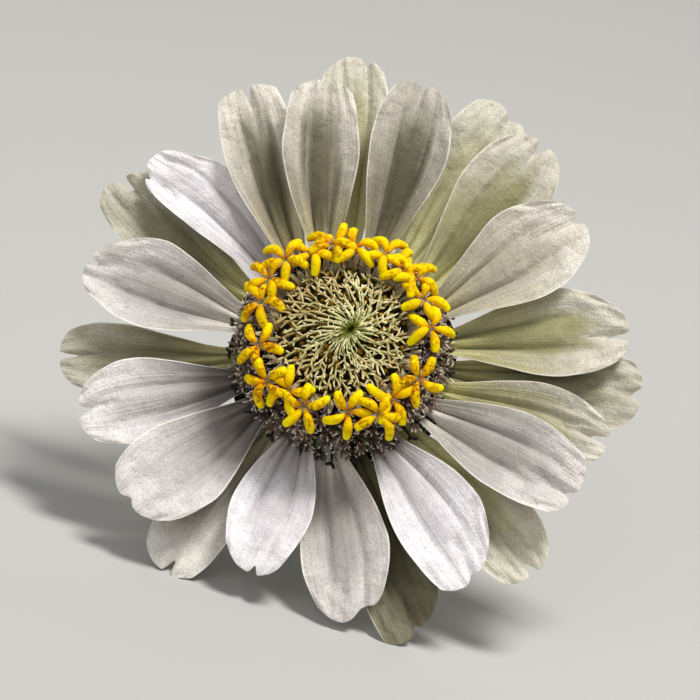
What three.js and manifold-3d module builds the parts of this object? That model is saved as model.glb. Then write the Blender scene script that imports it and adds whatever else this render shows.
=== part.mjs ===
// A cut zinnia bloom on a short bare stem, in millimetres, +Z up.
// The flower is modelled in its own frame: the origin is the middle of the disc's base, +Z is the flower's
// axis and the rays spread in the XY plane. The whole flower is then laid down: it leans on the tips of its
// lowest rays and on the end of its stem, facing -Y, with the ground at Z = 0.
import * as THREE from "three";
import { mergeVertices } from "three/addons/utils/BufferGeometryUtils.js";
import Module from "manifold-3d";

const wasm = await Module();
wasm.setup();

// How the flower lies: the height of its axis above the horizontal, its turn about that axis, and where its
// origin comes to rest.
const LEAN_DEG = 32.83;
const ROLL_DEG = 17.71;
const HEAD_AT = new THREE.Vector3(-1, -15.71, 25.34);

// The ground that trims what would sink into it.
const GROUND_SIZE = 200;
const GROUND_DEPTH = 20;

// Ray florets: the claw is the narrow root of the strap, a share of its width. The straps lie in layers,
// which draw together at the claws and are a full step apart from LAYERS_APART_FROM on.
const RAY_ROOT_RADIUS = 9.2;
const RAY_THICKNESS = 0.7;
const CLAW_SHARE = 0.2;
const CLAW_HEIGHT = -0.2;
const LOWEST_LAYER_HEIGHT = -2.2;
const LAYER_STEP = 1.3;
const CLAW_LAYER_SHARE = 0.45;
const LAYERS_APART_FROM = 0.35;
// The whole whorl is dished: it rises by DISH_RISE over a run of DISH_REACH from the claws.
const DISH_RISE = 3.2;
const DISH_REACH = 26;
const RAY_STATIONS = [0, 0.15, 0.33, 0.52, 0.71, 0.88, 1];
const MARGIN_STEPS = 3;
// Where the shape of the tip begins along the strap, and where its trough begins across it.
const TIP_FROM = 0.5;
const TROUGH_FROM = 0.3;
// How sharply the end rounds off, the strap narrows, the tip lifts and the margins rise.
const END_POWER = 2.6;
const NARROWING_POWER = 2.4;
const LIFT_POWER = 1.2;
const TROUGH_POWER = 1.3;
// The twist and the trough each swell and fade along a share of half a turn.
const TWIST_SPAN = 0.8;
const TROUGH_START = 0.06;
const TROUGH_SPAN = 0.86;
const TROUGH_SWELL = 0.8;

// Each ray is measured on its own, counted anticlockwise from the top of the bloom. Azimuths are in degrees,
// widest and notchAt are places along and across the strap, layer 0 is the lowest, and margin is how high the
// edges rise above the middle.
const RAY_FIELDS = [
  ...["rootAzimuth", "tipAzimuth", "reach", "width", "widest", "fullness"],
  ...["endShare", "roundness", "slant", "notchAt", "notchDepth", "notchBreadth"],
  ...["layer", "lift", "twist", "bow", "margin"],
];
const RAYS = [
  [88, 87.7, 37, 8.6, 0.78, 1.6, 0.84, 2.1, -0.2, -0.4, 0.7, 0.16, 0, 2.6, 0, -0.2, 0.3],
  [103, 94.4, 32.4, 9.2, 0.66, 1.6, 0.8, 1.9, 0.1, -0.15, 0.9, 0.1, 2.7, 3.8, 0, 0.3, 0.9],
  [118, 110.3, 34.3, 8.9, 0.72, 1.6, 0.82, 1.3, -0.15, -0.05, 1.8, 0.1, 2.2, 2.2, 0.3, 0.6, 0.8],
  [131.5, 134.6, 32.8, 8.8, 0.68, 1.3, 0.7, 2.2, -0.2, 0.6, 0.9, 0.12, 1, 2.8, 0.3, -1.8, 0.7],
  [145.5, 142.2, 34.7, 9.6, 0.74, 1.6, 0.8, 2.2, 1.3, -0.15, 2.4, 0.1, 0, 2.4, 0, 1.2, 0.4],
  [160.5, 162.2, 32, 11, 0.68, 1.9, 0.66, 2.2, 0.6, -0.15, 1.2, 0.1, 1.8, 3, 0, 0, 0.9],
  [177, 181.8, 33.7, 8.6, 0.8, 2, 0.8, 1.4, 0, -0.1, 2.4, 0.08, 0, 2.4, 0, 0.5, 0.4],
  [193.5, 195.3, 32.3, 10.4, 0.7, 2.1, 0.72, 1.8, 0.5, -0.1, 1.8, 0.12, 1, 3, -0.3, 0.3, 0.7],
  [210, 218.8, 31.9, 11.6, 0.74, 1.7, 0.8, 2.2, -0.2, -0.15, 0.8, 0.16, 2.1, 3.2, 0, 0.5, 0.9],
  [225, 231.8, 34.2, 9, 0.76, 1.7, 0.8, 1.6, 0.2, 0.15, 2, 0.1, 0, 2.4, 0, -0.4, 0.4],
  [240.5, 248.1, 29.9, 9.6, 0.62, 1.4, 0.72, 2.1, 0.7, 0.2, 1.2, 0.1, 2, 3, 0, 0.3, 0.9],
  [257, 272.2, 33.4, 10.5, 0.66, 1.5, 0.74, 2.6, -0.3, 0.35, 1.3, 0.3, 1, 2.8, 0.3, 0.2, 0.7],
  [274, 284, 35.6, 9.4, 0.78, 1.8, 0.82, 1.8, -1.8, 0.05, 1, 0.12, 0, 2.4, 0, 0, 0.4],
  [290, 298.3, 32.4, 10.8, 0.66, 1.5, 0.76, 2.1, -1.3, 0, 0.6, 0.14, 1.8, 3, 0, 0.4, 0.9],
  [307.5, 309.4, 35.5, 9.4, 0.76, 1.8, 0.8, 1.8, 0, 0, 1.8, 0.12, 0, 2.4, 0, 0.8, 0.4],
  [323.5, 326.3, 33.1, 10.2, 0.66, 1.5, 0.78, 1.5, 0, -0.2, 1.2, 0.12, 2.3, 3, 0, 0, 0.9],
  [338, 338.3, 33.5, 9.7, 0.66, 1.8, 0.68, 2, 0.2, 0.2, 2.2, 0.12, 1, 2.6, 0.3, -0.2, 0.7],
  [353.5, 350.2, 36, 10.2, 0.78, 2, 0.82, 1.8, 0.2, 0.1, 1.2, 0.16, 0, 2.4, 0, 0, 0.4],
  [8, 2.3, 34.1, 11.1, 0.7, 1.9, 0.7, 2.2, 0, -0.05, 2.4, 0.08, 1, 2.8, -0.3, 0.4, 0.7],
  [24, 27.3, 32.4, 11.6, 0.7, 2, 0.7, 2.2, -0.1, 0.15, 0.9, 0.12, 2, 3, 0, 0, 0.9],
  [39.5, 45.8, 35.2, 10.8, 0.74, 2, 0.74, 2.2, 0, 0.05, 1.6, 0.13, 1, 2.6, 0.3, -0.2, 0.7],
  [58, 55.7, 36.2, 10.4, 0.78, 1.8, 0.8, 1.8, 0.8, -0.1, 0.8, 0.24, 0, 2.4, 0, 0.2, 0.4],
  [73.5, 72.4, 34, 9.7, 0.72, 1.8, 0.76, 2, 0.6, 0.12, 0.7, 0.2, 1.8, 3.2, 0, -0.4, 0.9],
];

// The disc: a drum of spent chaff, a plate that carries the open florets, and a dome of young chaff.
const DRUM_BASE_HEIGHT = 2.2;
const DRUM_TOP_HEIGHT = 8.2;
const DRUM_BASE_RADIUS = 11.4;
const DRUM_TOP_RADIUS = 10.6;
const SPENT_ROWS = 3;
const SPENT_PER_ROW = 16;
const SPENT_WIDTH = 2.7;
const SPENT_HEIGHT = 2.3;
// How unevenly the spent scales stand round the drum, as a share of their spacing, and are turned (radians).
const SPENT_WANDER = 0.13;
const SPENT_SPIN = 0.25;
// Lean of the spent scales in the lowest and the highest row (degrees).
const SPENT_LEANS = [62, 34];
const PLATE_BASE_HEIGHT = 8.5;
const PLATE_TOP_HEIGHT = 9.3;
const PLATE_RADIUS = 10.4;
const DOME_BASE_HEIGHT = 9.6;
const DOME_RADIUS = 6.9;
const DOME_RISE = 1.3;
const YOUNG_SCALES = 44;
const YOUNG_SPIKES = 20;
const YOUNG_WIDTH = 1.3;
// Height and lean (degrees) of the young scales at the middle and at the rim.
const YOUNG_HEIGHTS = [2.4, 1.6];
const YOUNG_LEANS = [-38, 4];
const YOUNG_SPIN = 0.5;
const YOUNG_REACH = 6.1;
const GOLDEN_ANGLE = Math.PI * (3 - Math.sqrt(5));
const CHAFF_THICKNESS = 0.6;
const CHAFF_CUT_SHARE = 0.4;
const CHAFF_FOOT_SHARE = 0.3;

// Open disc florets: azimuth (degrees), distance from the axis, and turn of the star (degrees).
const STAR_HEIGHT = 11.3;
const STAR_TILT_DEG = 22;
const LOBE_DROOP_DEG = 12;
const STAR_LOBES = 5;
const LOBE_LENGTH = 2.4;
const LOBE_WIDTH = 1.2;
const THROAT_RADIUS = 0.95;
const TUBE_SIDES = 3;
const FLORETS = [
  [2, 10.4, 0], [22, 10.2, 50], [36, 10.7, 5], [47, 10.4, 30], [61, 10.7, 60], [82, 10.3, 10],
  [96, 10.6, 40], [110, 10.2, 25], [128, 11, 0], [143, 10.7, 55], [160, 10.1, 45], [190, 9.9, 17],
  [215, 10.7, 31], [229, 9.6, 59], [244, 10.1, 45], [274, 9.9, 2], [293, 11, 69], [305, 10.1, 1],
  [327, 10.7, 8],
];

// Involucre: a cup, a quarter ellipse in section, with a post that carries the disc and rows of bracts.
const CUP_RIM_RADIUS = 11.2;
const CUP_FOOT_RADIUS = 2.6;
const CUP_RIM_HEIGHT = -3.2;
const CUP_FOOT_HEIGHT = -12.9;
const POST_RADIUS = 8.5;
const POST_TOP_HEIGHT = 1.8;
const BRACT_THICKNESS = 0.8;
// A bract's crown above its sides, how much shorter its sides are, and its outline: where it is widest, how
// far its taper spans, and the square of its least width, as a share.
const BRACT_CROWN = 0.2;
const BRACT_ROUNDING = 0.12;
const BRACT_WIDEST = 0.6;
const BRACT_TAPER = 0.66;
const BRACT_LEAST = 0.12;
// Each row, from the foot up: number of bracts, angle of foot and tip round the cup's section (degrees), half
// width, and how far the tip stands off the cup.
const BRACT_ROWS = [
  [11, 42, 99, 4.8, 2.8],
  [9, 22, 70, 3.6, 0.6],
  [7, 6, 48, 3.4, 0.85],
];

// Stem: its line in the flower's frame and its girth.
const STEM_RADIUS = 2.3;
const STEM_RIB = 0.12;
const STEM_SIDES = 12;
const STEM_STEPS = 20;
const STEM_LINE = [
  new THREE.Vector3(0, 0, -13.2),
  new THREE.Vector3(0, 0, -30),
  new THREE.Vector3(-0.5, 3, -44),
  new THREE.Vector3(-2, 10, -57),
];

const petalWhite = new THREE.MeshStandardMaterial({ color: 0xe6e2e4, roughness: 0.7, metalness: 0 });
const petalOlive = new THREE.MeshStandardMaterial({ color: 0xc3c3aa, roughness: 0.72, metalness: 0 });
const floretYellow = new THREE.MeshStandardMaterial({ color: 0xf0b400, roughness: 0.6, metalness: 0 });
const youngStraw = new THREE.MeshStandardMaterial({ color: 0xc9c48a, roughness: 0.75, metalness: 0 });
const spentMauve = new THREE.MeshStandardMaterial({ color: 0x8c7876, roughness: 0.8, metalness: 0 });
const bractGreen = new THREE.MeshStandardMaterial({ color: 0x6f7f45, roughness: 0.7, metalness: 0 });
const stemGreen = new THREE.MeshStandardMaterial({ color: 0x76863f, roughness: 0.65, metalness: 0 });

const radians = THREE.MathUtils.degToRad;

/** A manifold solid from a closed three.js geometry. */
function solidFrom(geometry) {
  const bare = geometry.clone();
  bare.deleteAttribute("normal");
  bare.deleteAttribute("uv");
  const merged = mergeVertices(bare, 1e-4);
  return new wasm.Manifold(
    new wasm.Mesh({
      numProp: 3,
      vertProperties: merged.attributes.position.array,
      triVerts: new Uint32Array(merged.index.array),
    }),
  );
}

/** A three.js geometry from a manifold solid. */
function geometryFrom(solid) {
  const mesh = solid.getMesh();
  const geometry = new THREE.BufferGeometry();
  geometry.setAttribute("position", new THREE.BufferAttribute(mesh.vertProperties, 3));
  geometry.setIndex(new THREE.BufferAttribute(mesh.triVerts, 1));
  return geometry;
}

/** One geometry from several that overlap. */
function fused(geometries) {
  return geometryFrom(geometries.map(solidFrom).reduce((whole, piece) => whole.add(piece)));
}

/** A closed blade between two sheets of points, split into triangles alike on both faces. */
function bladeGeometry(rows, columns, front, back) {
  const positions = [];
  const indices = [];
  for (const sheet of [front, back]) {
    for (let i = 0; i < rows; i++) {
      for (let j = 0; j < columns; j++) positions.push(...sheet(i, j).toArray());
    }
  }
  const onFront = (i, j) => i * columns + j;
  const onBack = (i, j) => rows * columns + onFront(i, j);
  for (let i = 0; i < rows - 1; i++) {
    for (let j = 0; j < columns - 1; j++) {
      indices.push(onFront(i, j), onFront(i + 1, j), onFront(i + 1, j + 1));
      indices.push(onFront(i, j), onFront(i + 1, j + 1), onFront(i, j + 1));
      indices.push(onBack(i, j), onBack(i + 1, j + 1), onBack(i + 1, j));
      indices.push(onBack(i, j), onBack(i, j + 1), onBack(i + 1, j + 1));
    }
  }
  const rim = [];
  for (let i = 0; i < rows - 1; i++) rim.push([i, 0]);
  for (let j = 0; j < columns - 1; j++) rim.push([rows - 1, j]);
  for (let i = rows - 1; i > 0; i--) rim.push([i, columns - 1]);
  for (let j = columns - 1; j > 0; j--) rim.push([0, j]);
  rim.forEach(([i, j], k) => {
    const [iNext, jNext] = rim[(k + 1) % rim.length];
    indices.push(onFront(i, j), onBack(i, j), onBack(iNext, jNext));
    indices.push(onFront(i, j), onBack(iNext, jNext), onFront(iNext, jNext));
  });
  const geometry = new THREE.BufferGeometry();
  geometry.setAttribute("position", new THREE.Float32BufferAttribute(positions, 3));
  geometry.setIndex(indices);
  return geometry;
}

/** How far the end of a ray stands beyond or short of its reach, across its width. */
function rayEnd(ray, v) {
  const notch = ray.notchDepth * Math.exp(-(((v - ray.notchAt) / ray.notchBreadth) ** 2));
  return ray.slant * v - ray.roundness * Math.abs(v) ** END_POWER - notch;
}

/** Half the width of a ray at a station. */
function rayHalfWidth(ray, s) {
  const opening = Math.sin((Math.PI / 2) * Math.min(s / ray.widest, 1)) ** ray.fullness;
  const beyond = Math.max((s - ray.widest) / (1 - ray.widest), 0);
  const narrowing = 1 - (1 - ray.endShare) * beyond ** NARROWING_POWER;
  return (ray.width / 2) * THREE.MathUtils.lerp(CLAW_SHARE, 1, opening) * narrowing;
}

/** The height of a ray's middle surface: its layer, its lift, its twist and its trough. */
function rayHeight(ray, s, v) {
  const layerHeight = LOWEST_LAYER_HEIGHT + LAYER_STEP * ray.layer;
  const apart = THREE.MathUtils.smoothstep(s, 0, LAYERS_APART_FROM);
  const layered = THREE.MathUtils.lerp(CLAW_LAYER_SHARE, 1, apart) * (layerHeight - CLAW_HEIGHT);
  const lifted = ray.lift * Math.sin((Math.PI / 2) * s) ** LIFT_POWER;
  const twisted = ray.twist * v * Math.sin(TWIST_SPAN * Math.PI * s);
  const outward = Math.max((Math.abs(v) - TROUGH_FROM) / (1 - TROUGH_FROM), 0) ** TROUGH_POWER;
  const swell = Math.sin(Math.PI * (TROUGH_SPAN * s + TROUGH_START)) ** TROUGH_SWELL;
  const trough = ray.margin * outward * swell;
  return CLAW_HEIGHT + layered + lifted + twisted + trough;
}

/** The middle surface of a ray: station s runs from root to tip, v from -1 to 1 across it. */
function rayPoint(ray, s, v) {
  const middle = new THREE.Vector2();
  const root = new THREE.Vector2(RAY_ROOT_RADIUS, 0).rotateAround(middle, radians(ray.rootAzimuth));
  const tip = new THREE.Vector2(ray.reach, 0).rotateAround(middle, radians(ray.tipAzimuth));
  const forward = tip.clone().sub(root).normalize();
  const sideways = new THREE.Vector2(-forward.y, forward.x);
  const run = s * root.distanceTo(tip);
  const along = run + rayEnd(ray, v) * THREE.MathUtils.smoothstep(s, TIP_FROM, 1);
  const across = v * rayHalfWidth(ray, s) + ray.bow * Math.sin(Math.PI * s);
  const place = root.addScaledVector(forward, along).addScaledVector(sideways, across);
  const dished = DISH_RISE * Math.sin((Math.PI / 2) * Math.min(run / DISH_REACH, 1)) ** LIFT_POWER;
  return new THREE.Vector3(place.x, place.y, rayHeight(ray, s, v) + dished);
}

/** One ray floret's strap, notched at the tip, with raised margins. */
function rayGeometry(ray) {
  const notchEdge = 1.4 * ray.notchBreadth;
  const stations = [];
  for (let k = 0; k <= MARGIN_STEPS; k++) {
    stations.push(THREE.MathUtils.lerp(-1, ray.notchAt - notchEdge, k / MARGIN_STEPS));
  }
  stations.push(ray.notchAt);
  for (let k = 0; k <= MARGIN_STEPS; k++) {
    stations.push(THREE.MathUtils.lerp(ray.notchAt + notchEdge, 1, k / MARGIN_STEPS));
  }
  const half = new THREE.Vector3(0, 0, RAY_THICKNESS / 2);
  const middle = (i, j) => rayPoint(ray, RAY_STATIONS[i], stations[j]);
  return bladeGeometry(
    RAY_STATIONS.length,
    stations.length,
    (i, j) => middle(i, j).add(half),
    (i, j) => middle(i, j).sub(half),
  );
}

/** A solid of revolution about the flower's axis, from [radius, height] pairs that begin and end on it. */
function turned(profile, sides) {
  const points = profile.map(([radius, height]) => new THREE.Vector2(radius, height));
  return new THREE.LatheGeometry(points, sides).rotateX(Math.PI / 2);
}

/** A thin scale whose free end is cut into two points, standing along +Z, facing +X. */
function forkedScale(width, height) {
  const outline = new THREE.Shape();
  outline.moveTo(-CHAFF_FOOT_SHARE * width, 0);
  outline.lineTo(CHAFF_FOOT_SHARE * width, 0);
  outline.lineTo(width / 2, height);
  outline.lineTo(0, (1 - CHAFF_CUT_SHARE) * height);
  outline.lineTo(-width / 2, height);
  outline.closePath();
  const options = { depth: CHAFF_THICKNESS, bevelEnabled: false };
  const geometry = new THREE.ExtrudeGeometry(outline, options).translate(0, 0, -CHAFF_THICKNESS / 2);
  return geometry.rotateX(Math.PI / 2).rotateZ(Math.PI / 2);
}

/** Places a piece that stands along +Z: leaned outwards, at a distance from the axis, at an azimuth. */
function placed(geometry, spin, lean, radius, height, azimuth) {
  return geometry.rotateZ(spin).rotateY(lean).translate(radius, 0, height).rotateZ(azimuth);
}

/** The drum of spent chaff under the open florets. */
function outerChaff() {
  const pieces = [
    turned(
      [
        [0, DRUM_BASE_HEIGHT],
        [DRUM_BASE_RADIUS - 0.8, DRUM_BASE_HEIGHT],
        [DRUM_BASE_RADIUS, DRUM_BASE_HEIGHT + 1],
        [DRUM_TOP_RADIUS, DRUM_TOP_HEIGHT],
        [0, DRUM_TOP_HEIGHT],
      ],
      34,
    ),
  ];
  for (let row = 0; row < SPENT_ROWS; row++) {
    const share = row / (SPENT_ROWS - 1);
    const height = THREE.MathUtils.lerp(DRUM_BASE_HEIGHT + 0.6, DRUM_TOP_HEIGHT - SPENT_HEIGHT, share);
    const lean = radians(THREE.MathUtils.lerp(...SPENT_LEANS, share));
    const radius = THREE.MathUtils.lerp(DRUM_BASE_RADIUS, DRUM_TOP_RADIUS, share) - CHAFF_THICKNESS;
    for (let k = 0; k < SPENT_PER_ROW; k++) {
      const wander = SPENT_WANDER * Math.sin(5 * k + row);
      const azimuth = (2 * Math.PI * (k + 0.5 * (row % 2) + wander)) / SPENT_PER_ROW;
      const scale = forkedScale(SPENT_WIDTH, SPENT_HEIGHT);
      pieces.push(placed(scale, SPENT_SPIN * Math.sin(3 * k + row), lean, radius, height, azimuth));
    }
  }
  return fused(pieces);
}

/** One open disc floret: a tube with five blunt lobes that spread into a star. */
function floretPieces([azimuthDeg, radius, turnDeg]) {
  const azimuth = radians(azimuthDeg);
  const tubeHeight = STAR_HEIGHT - PLATE_TOP_HEIGHT + 0.6;
  const tube = new THREE.CylinderGeometry(THROAT_RADIUS, 0.5 * THROAT_RADIUS, tubeHeight, TUBE_SIDES);
  const pieces = [tube.rotateX(Math.PI / 2).translate(0, 0, -tubeHeight / 2).rotateZ(radians(turnDeg))];
  for (let k = 0; k < STAR_LOBES; k++) {
    const lobe = new THREE.SphereGeometry(0.5, 4, 3).rotateZ(-Math.PI / 2);
    lobe.scale(LOBE_LENGTH, LOBE_WIDTH, LOBE_WIDTH).translate(0.5 * (LOBE_LENGTH + THROAT_RADIUS), 0, 0);
    lobe.rotateY(radians(LOBE_DROOP_DEG)).rotateZ(radians(turnDeg) + (2 * Math.PI * k) / STAR_LOBES);
    pieces.push(lobe);
  }
  return pieces.map((piece) => placed(piece, 0, radians(STAR_TILT_DEG), radius, STAR_HEIGHT, azimuth));
}

/** The ring of open disc florets on the plate that carries them. */
function discFlorets() {
  const plate = turned(
    [
      [0, PLATE_BASE_HEIGHT],
      [PLATE_RADIUS, PLATE_BASE_HEIGHT],
      [PLATE_RADIUS, PLATE_TOP_HEIGHT],
      [0, PLATE_TOP_HEIGHT],
    ],
    24,
  );
  return fused([plate, ...FLORETS.flatMap(floretPieces)]);
}

/** The dome of young chaff, its scales set in a spiral and bent towards the middle. */
function innerChaff() {
  const domeHeight = (radius) => DOME_BASE_HEIGHT + DOME_RISE * (1 - (radius / DOME_RADIUS) ** 2);
  const profile = [[0, DOME_BASE_HEIGHT]];
  for (const share of [1, 0.75, 0.45, 0]) {
    profile.push([share * DOME_RADIUS, domeHeight(share * DOME_RADIUS) + (share === 1 ? 0.4 : 0)]);
  }
  const pieces = [turned(profile, 20)];
  for (let k = 0; k < YOUNG_SCALES; k++) {
    const share = Math.sqrt((k + 0.6) / YOUNG_SCALES);
    const radius = share * YOUNG_REACH;
    const height = THREE.MathUtils.lerp(...YOUNG_HEIGHTS, share);
    const spike = new THREE.ConeGeometry(YOUNG_WIDTH / 3, height, 3).rotateX(Math.PI / 2);
    const scale = k < YOUNG_SPIKES ? spike.translate(0, 0, height / 2) : forkedScale(YOUNG_WIDTH, height);
    const lean = radians(THREE.MathUtils.lerp(...YOUNG_LEANS, share));
    pieces.push(placed(scale, YOUNG_SPIN, lean, radius, domeHeight(radius) - 0.4, k * GOLDEN_ANGLE));
  }
  return fused(pieces);
}

/** A point of the cup's section at an angle from its foot, moved off along its normal. */
function cupPoint(angle, off) {
  const across = CUP_RIM_RADIUS - CUP_FOOT_RADIUS;
  const tall = CUP_RIM_HEIGHT - CUP_FOOT_HEIGHT;
  const beyondRim = Math.max(angle - Math.PI / 2, 0);
  const within = Math.min(angle, Math.PI / 2);
  const normal = new THREE.Vector2(tall * Math.sin(within), -across * Math.cos(within)).normalize();
  const radius = CUP_FOOT_RADIUS + across * Math.sin(within) + off * normal.x;
  const height = CUP_RIM_HEIGHT - tall * Math.cos(within) + tall * beyondRim + off * normal.y;
  return new THREE.Vector2(radius, height);
}

/** One bract: a rounded blade that lies on the cup, its foot sunk in and its tip a little free. */
function bractGeometry(footDeg, tipDeg, halfWidth, standOff, azimuth) {
  const alongShares = [0, 0.45, 0.8, 1];
  const acrossShares = [-1, 0, 1];
  const surface = (i, j, below) => {
    const u = alongShares[i];
    const v = acrossShares[j];
    const rounding = 1 - BRACT_ROUNDING * v * v * u;
    const section = cupPoint(
      radians(THREE.MathUtils.lerp(footDeg, tipDeg, u * rounding)),
      THREE.MathUtils.lerp(0.1, standOff, u) + BRACT_CROWN * (1 - v * v) - below,
    );
    const outline = Math.max(1 - ((u - BRACT_WIDEST) / BRACT_TAPER) ** 2, BRACT_LEAST);
    const breadth = halfWidth * Math.sqrt(outline);
    return new THREE.Vector3(section.x, 0, section.y).applyAxisAngle(
      new THREE.Vector3(0, 0, 1),
      azimuth + (v * breadth) / Math.max(section.x, 0.6 * CUP_RIM_RADIUS),
    );
  };
  return bladeGeometry(
    alongShares.length,
    acrossShares.length,
    (i, j) => surface(i, acrossShares.length - 1 - j, 0),
    (i, j) => surface(i, acrossShares.length - 1 - j, BRACT_THICKNESS),
  );
}

/** The involucre: the green cup of overlapping bracts and the post inside it that carries the disc. */
function involucre() {
  const profile = [[0, CUP_FOOT_HEIGHT]];
  for (const angle of [0, 15, 30, 45, 60, 75, 90]) profile.push(cupPoint(radians(angle), 0).toArray());
  profile.push([POST_RADIUS, CUP_RIM_HEIGHT], [POST_RADIUS, POST_TOP_HEIGHT], [0, POST_TOP_HEIGHT]);
  const pieces = [turned(profile, 28)];
  BRACT_ROWS.forEach(([count, footDeg, tipDeg, halfWidth, standOff], row) => {
    for (let k = 0; k < count; k++) {
      const azimuth = (2 * Math.PI * (k + 0.5 * ((row + 1) % 2))) / count;
      pieces.push(bractGeometry(footDeg, tipDeg, halfWidth, standOff, azimuth));
    }
  });
  return fused(pieces);
}

/** The stem: a ribbed rod along a gentle curve. */
function stem() {
  const outline = new THREE.Shape();
  for (let k = 0; k < STEM_SIDES; k++) {
    const radius = STEM_RADIUS - (k % 2 ? STEM_RIB : 0);
    const angle = (2 * Math.PI * k) / STEM_SIDES;
    const corner = [radius * Math.cos(angle), radius * Math.sin(angle)];
    if (k === 0) outline.moveTo(...corner);
    else outline.lineTo(...corner);
  }
  outline.closePath();
  return new THREE.ExtrudeGeometry(outline, {
    steps: STEM_STEPS,
    extrudePath: new THREE.CubicBezierCurve3(...STEM_LINE),
    bevelEnabled: false,
  });
}

const flower = new THREE.Group();
flower.name = "zinnia";
flower.rotation.set(radians(90 - LEAN_DEG), 0, 0);
flower.position.copy(HEAD_AT);
const bloom = new THREE.Group();
bloom.rotation.z = radians(ROLL_DEG);
flower.add(bloom);
flower.updateMatrixWorld(true);

const ground = new THREE.BoxGeometry(GROUND_SIZE, GROUND_SIZE, GROUND_DEPTH)
  .translate(0, 0, -GROUND_DEPTH / 2)
  .applyMatrix4(bloom.matrixWorld.clone().invert());

/** The geometry with what would sink into the ground trimmed to a small flat. */
function trimmed(geometry) {
  const laid = geometry.clone().applyMatrix4(bloom.matrixWorld);
  laid.computeBoundingBox();
  if (laid.boundingBox.min.z >= 0) return geometry;
  return geometryFrom(solidFrom(geometry).subtract(solidFrom(ground)));
}

/** Adds one named piece to the bloom. */
function addPiece(name, geometry, material) {
  const mesh = new THREE.Mesh(trimmed(geometry), material);
  mesh.name = name;
  bloom.add(mesh);
}

RAYS.forEach((row, k) => {
  const ray = Object.fromEntries(RAY_FIELDS.map((field, column) => [field, row[column]]));
  const name = `ray_floret_${String(k + 1).padStart(2, "0")}`;
  addPiece(name, rayGeometry(ray), ray.layer > 0 ? petalWhite : petalOlive);
});
addPiece("outer_chaff", outerChaff(), spentMauve);
addPiece("disc_florets", discFlorets(), floretYellow);
addPiece("inner_chaff", innerChaff(), youngStraw);
addPiece("involucre", involucre(), bractGreen);
addPiece("stem", stem(), stemGreen);

export default flower;
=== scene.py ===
"""A cut white zinnia bloom on its stalk, laid down on a pale floor.

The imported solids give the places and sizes. Each piece is grown in the flower's own frame, in millimetres,
and is laid down in the shared frame, in metres, when it is finished. In the flower's frame the origin is the
middle of the disc's base, +Z is the flower's axis towards the viewer, and the rays spread in the XY plane.
"""

import logging
import math
import random
from collections.abc import Callable, Iterator
from dataclasses import dataclass
from enum import Enum

import bmesh
import bpy
from mathutils import Matrix, Vector, noise

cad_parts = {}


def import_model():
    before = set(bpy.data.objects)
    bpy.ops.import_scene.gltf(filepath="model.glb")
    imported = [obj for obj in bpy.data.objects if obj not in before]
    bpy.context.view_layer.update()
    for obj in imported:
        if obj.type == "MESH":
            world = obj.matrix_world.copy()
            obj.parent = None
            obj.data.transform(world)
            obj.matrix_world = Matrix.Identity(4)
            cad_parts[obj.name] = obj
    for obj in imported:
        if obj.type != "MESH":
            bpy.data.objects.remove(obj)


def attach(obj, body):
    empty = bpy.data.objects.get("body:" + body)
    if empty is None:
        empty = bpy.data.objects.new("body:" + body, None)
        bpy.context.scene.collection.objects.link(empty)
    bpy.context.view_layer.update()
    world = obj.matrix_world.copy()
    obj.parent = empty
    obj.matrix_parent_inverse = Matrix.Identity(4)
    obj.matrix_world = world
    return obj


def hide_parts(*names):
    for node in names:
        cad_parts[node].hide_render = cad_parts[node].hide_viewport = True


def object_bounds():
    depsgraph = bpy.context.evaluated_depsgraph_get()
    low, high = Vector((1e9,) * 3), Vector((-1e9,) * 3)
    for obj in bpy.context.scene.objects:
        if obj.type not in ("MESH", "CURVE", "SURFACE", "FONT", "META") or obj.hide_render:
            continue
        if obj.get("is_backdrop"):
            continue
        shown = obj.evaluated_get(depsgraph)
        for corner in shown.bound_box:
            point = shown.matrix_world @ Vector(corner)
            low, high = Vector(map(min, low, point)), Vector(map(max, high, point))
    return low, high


LOG = logging.getLogger("zinnia")

BODY = "root"

# A millimetre in metres.
MM = 0.001
# How the flower lies: the height of its axis above the horizontal, its turn about that axis, and its place.
LEAN_DEG = 32.83
ROLL_DEG = 17.71
HEAD_AT = Vector((-1.0, -15.71, 25.34))
GOLDEN_ANGLE = math.pi * (3 - math.sqrt(5))
# Edges that turn by more than this stay sharp.
SHARP_DEG = 62
# Where a ray's two folds lie, as a share of its half width.
FOLD_AT = 0.36

# A colour as a screen shows it, from 0 to 255.
Colour = tuple[int, int, int]
Line = Callable[[float], Vector]
Girth = Callable[[float], float]


class Slot(Enum):
    """The record's material slots."""

    RAY_WHITE = "ray_white"
    RAY_OLIVE = "ray_olive"
    FLORET_YELLOW = "floret_yellow"
    YOUNG_CHAFF = "young_chaff"
    SPENT_CHAFF = "spent_chaff"
    BRACT = "bract"
    STALK = "stalk"


class Mark(Enum):
    """The values painted on a piece's vertices, which its finish reads."""

    ALONG = "along"
    ACROSS = "across"
    TONE = "tone"
    FACE = "face"


def linear(colour: Colour) -> tuple[float, ...]:
    """Turns a colour as a screen shows it into a linear one."""
    shares = [value / 255 for value in colour]
    return tuple(share / 12.92 if share <= 0.04045 else ((share + 0.055) / 1.055) ** 2.4 for share in shares)


def between(low: float, high: float, share: float) -> float:
    """Gives the value at a share of the way from low to high."""
    return low + (high - low) * share


def eased(value: float, start: float, stop: float) -> float:
    """Rises smoothly from 0 at start to 1 at stop."""
    share = min(max((value - start) / (stop - start), 0.0), 1.0)
    return share * share * (3 - 2 * share)


def hump(value: float, middle: float, breadth: float) -> float:
    """Gives a bell curve of height 1 round a middle."""
    return math.exp(-(((value - middle) / breadth) ** 2))


def waver(x: float, y: float, z: float) -> float:
    """Gives smooth noise, from -1 to 1, at a place."""
    return noise.noise(Vector((x, y, z)))


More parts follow.
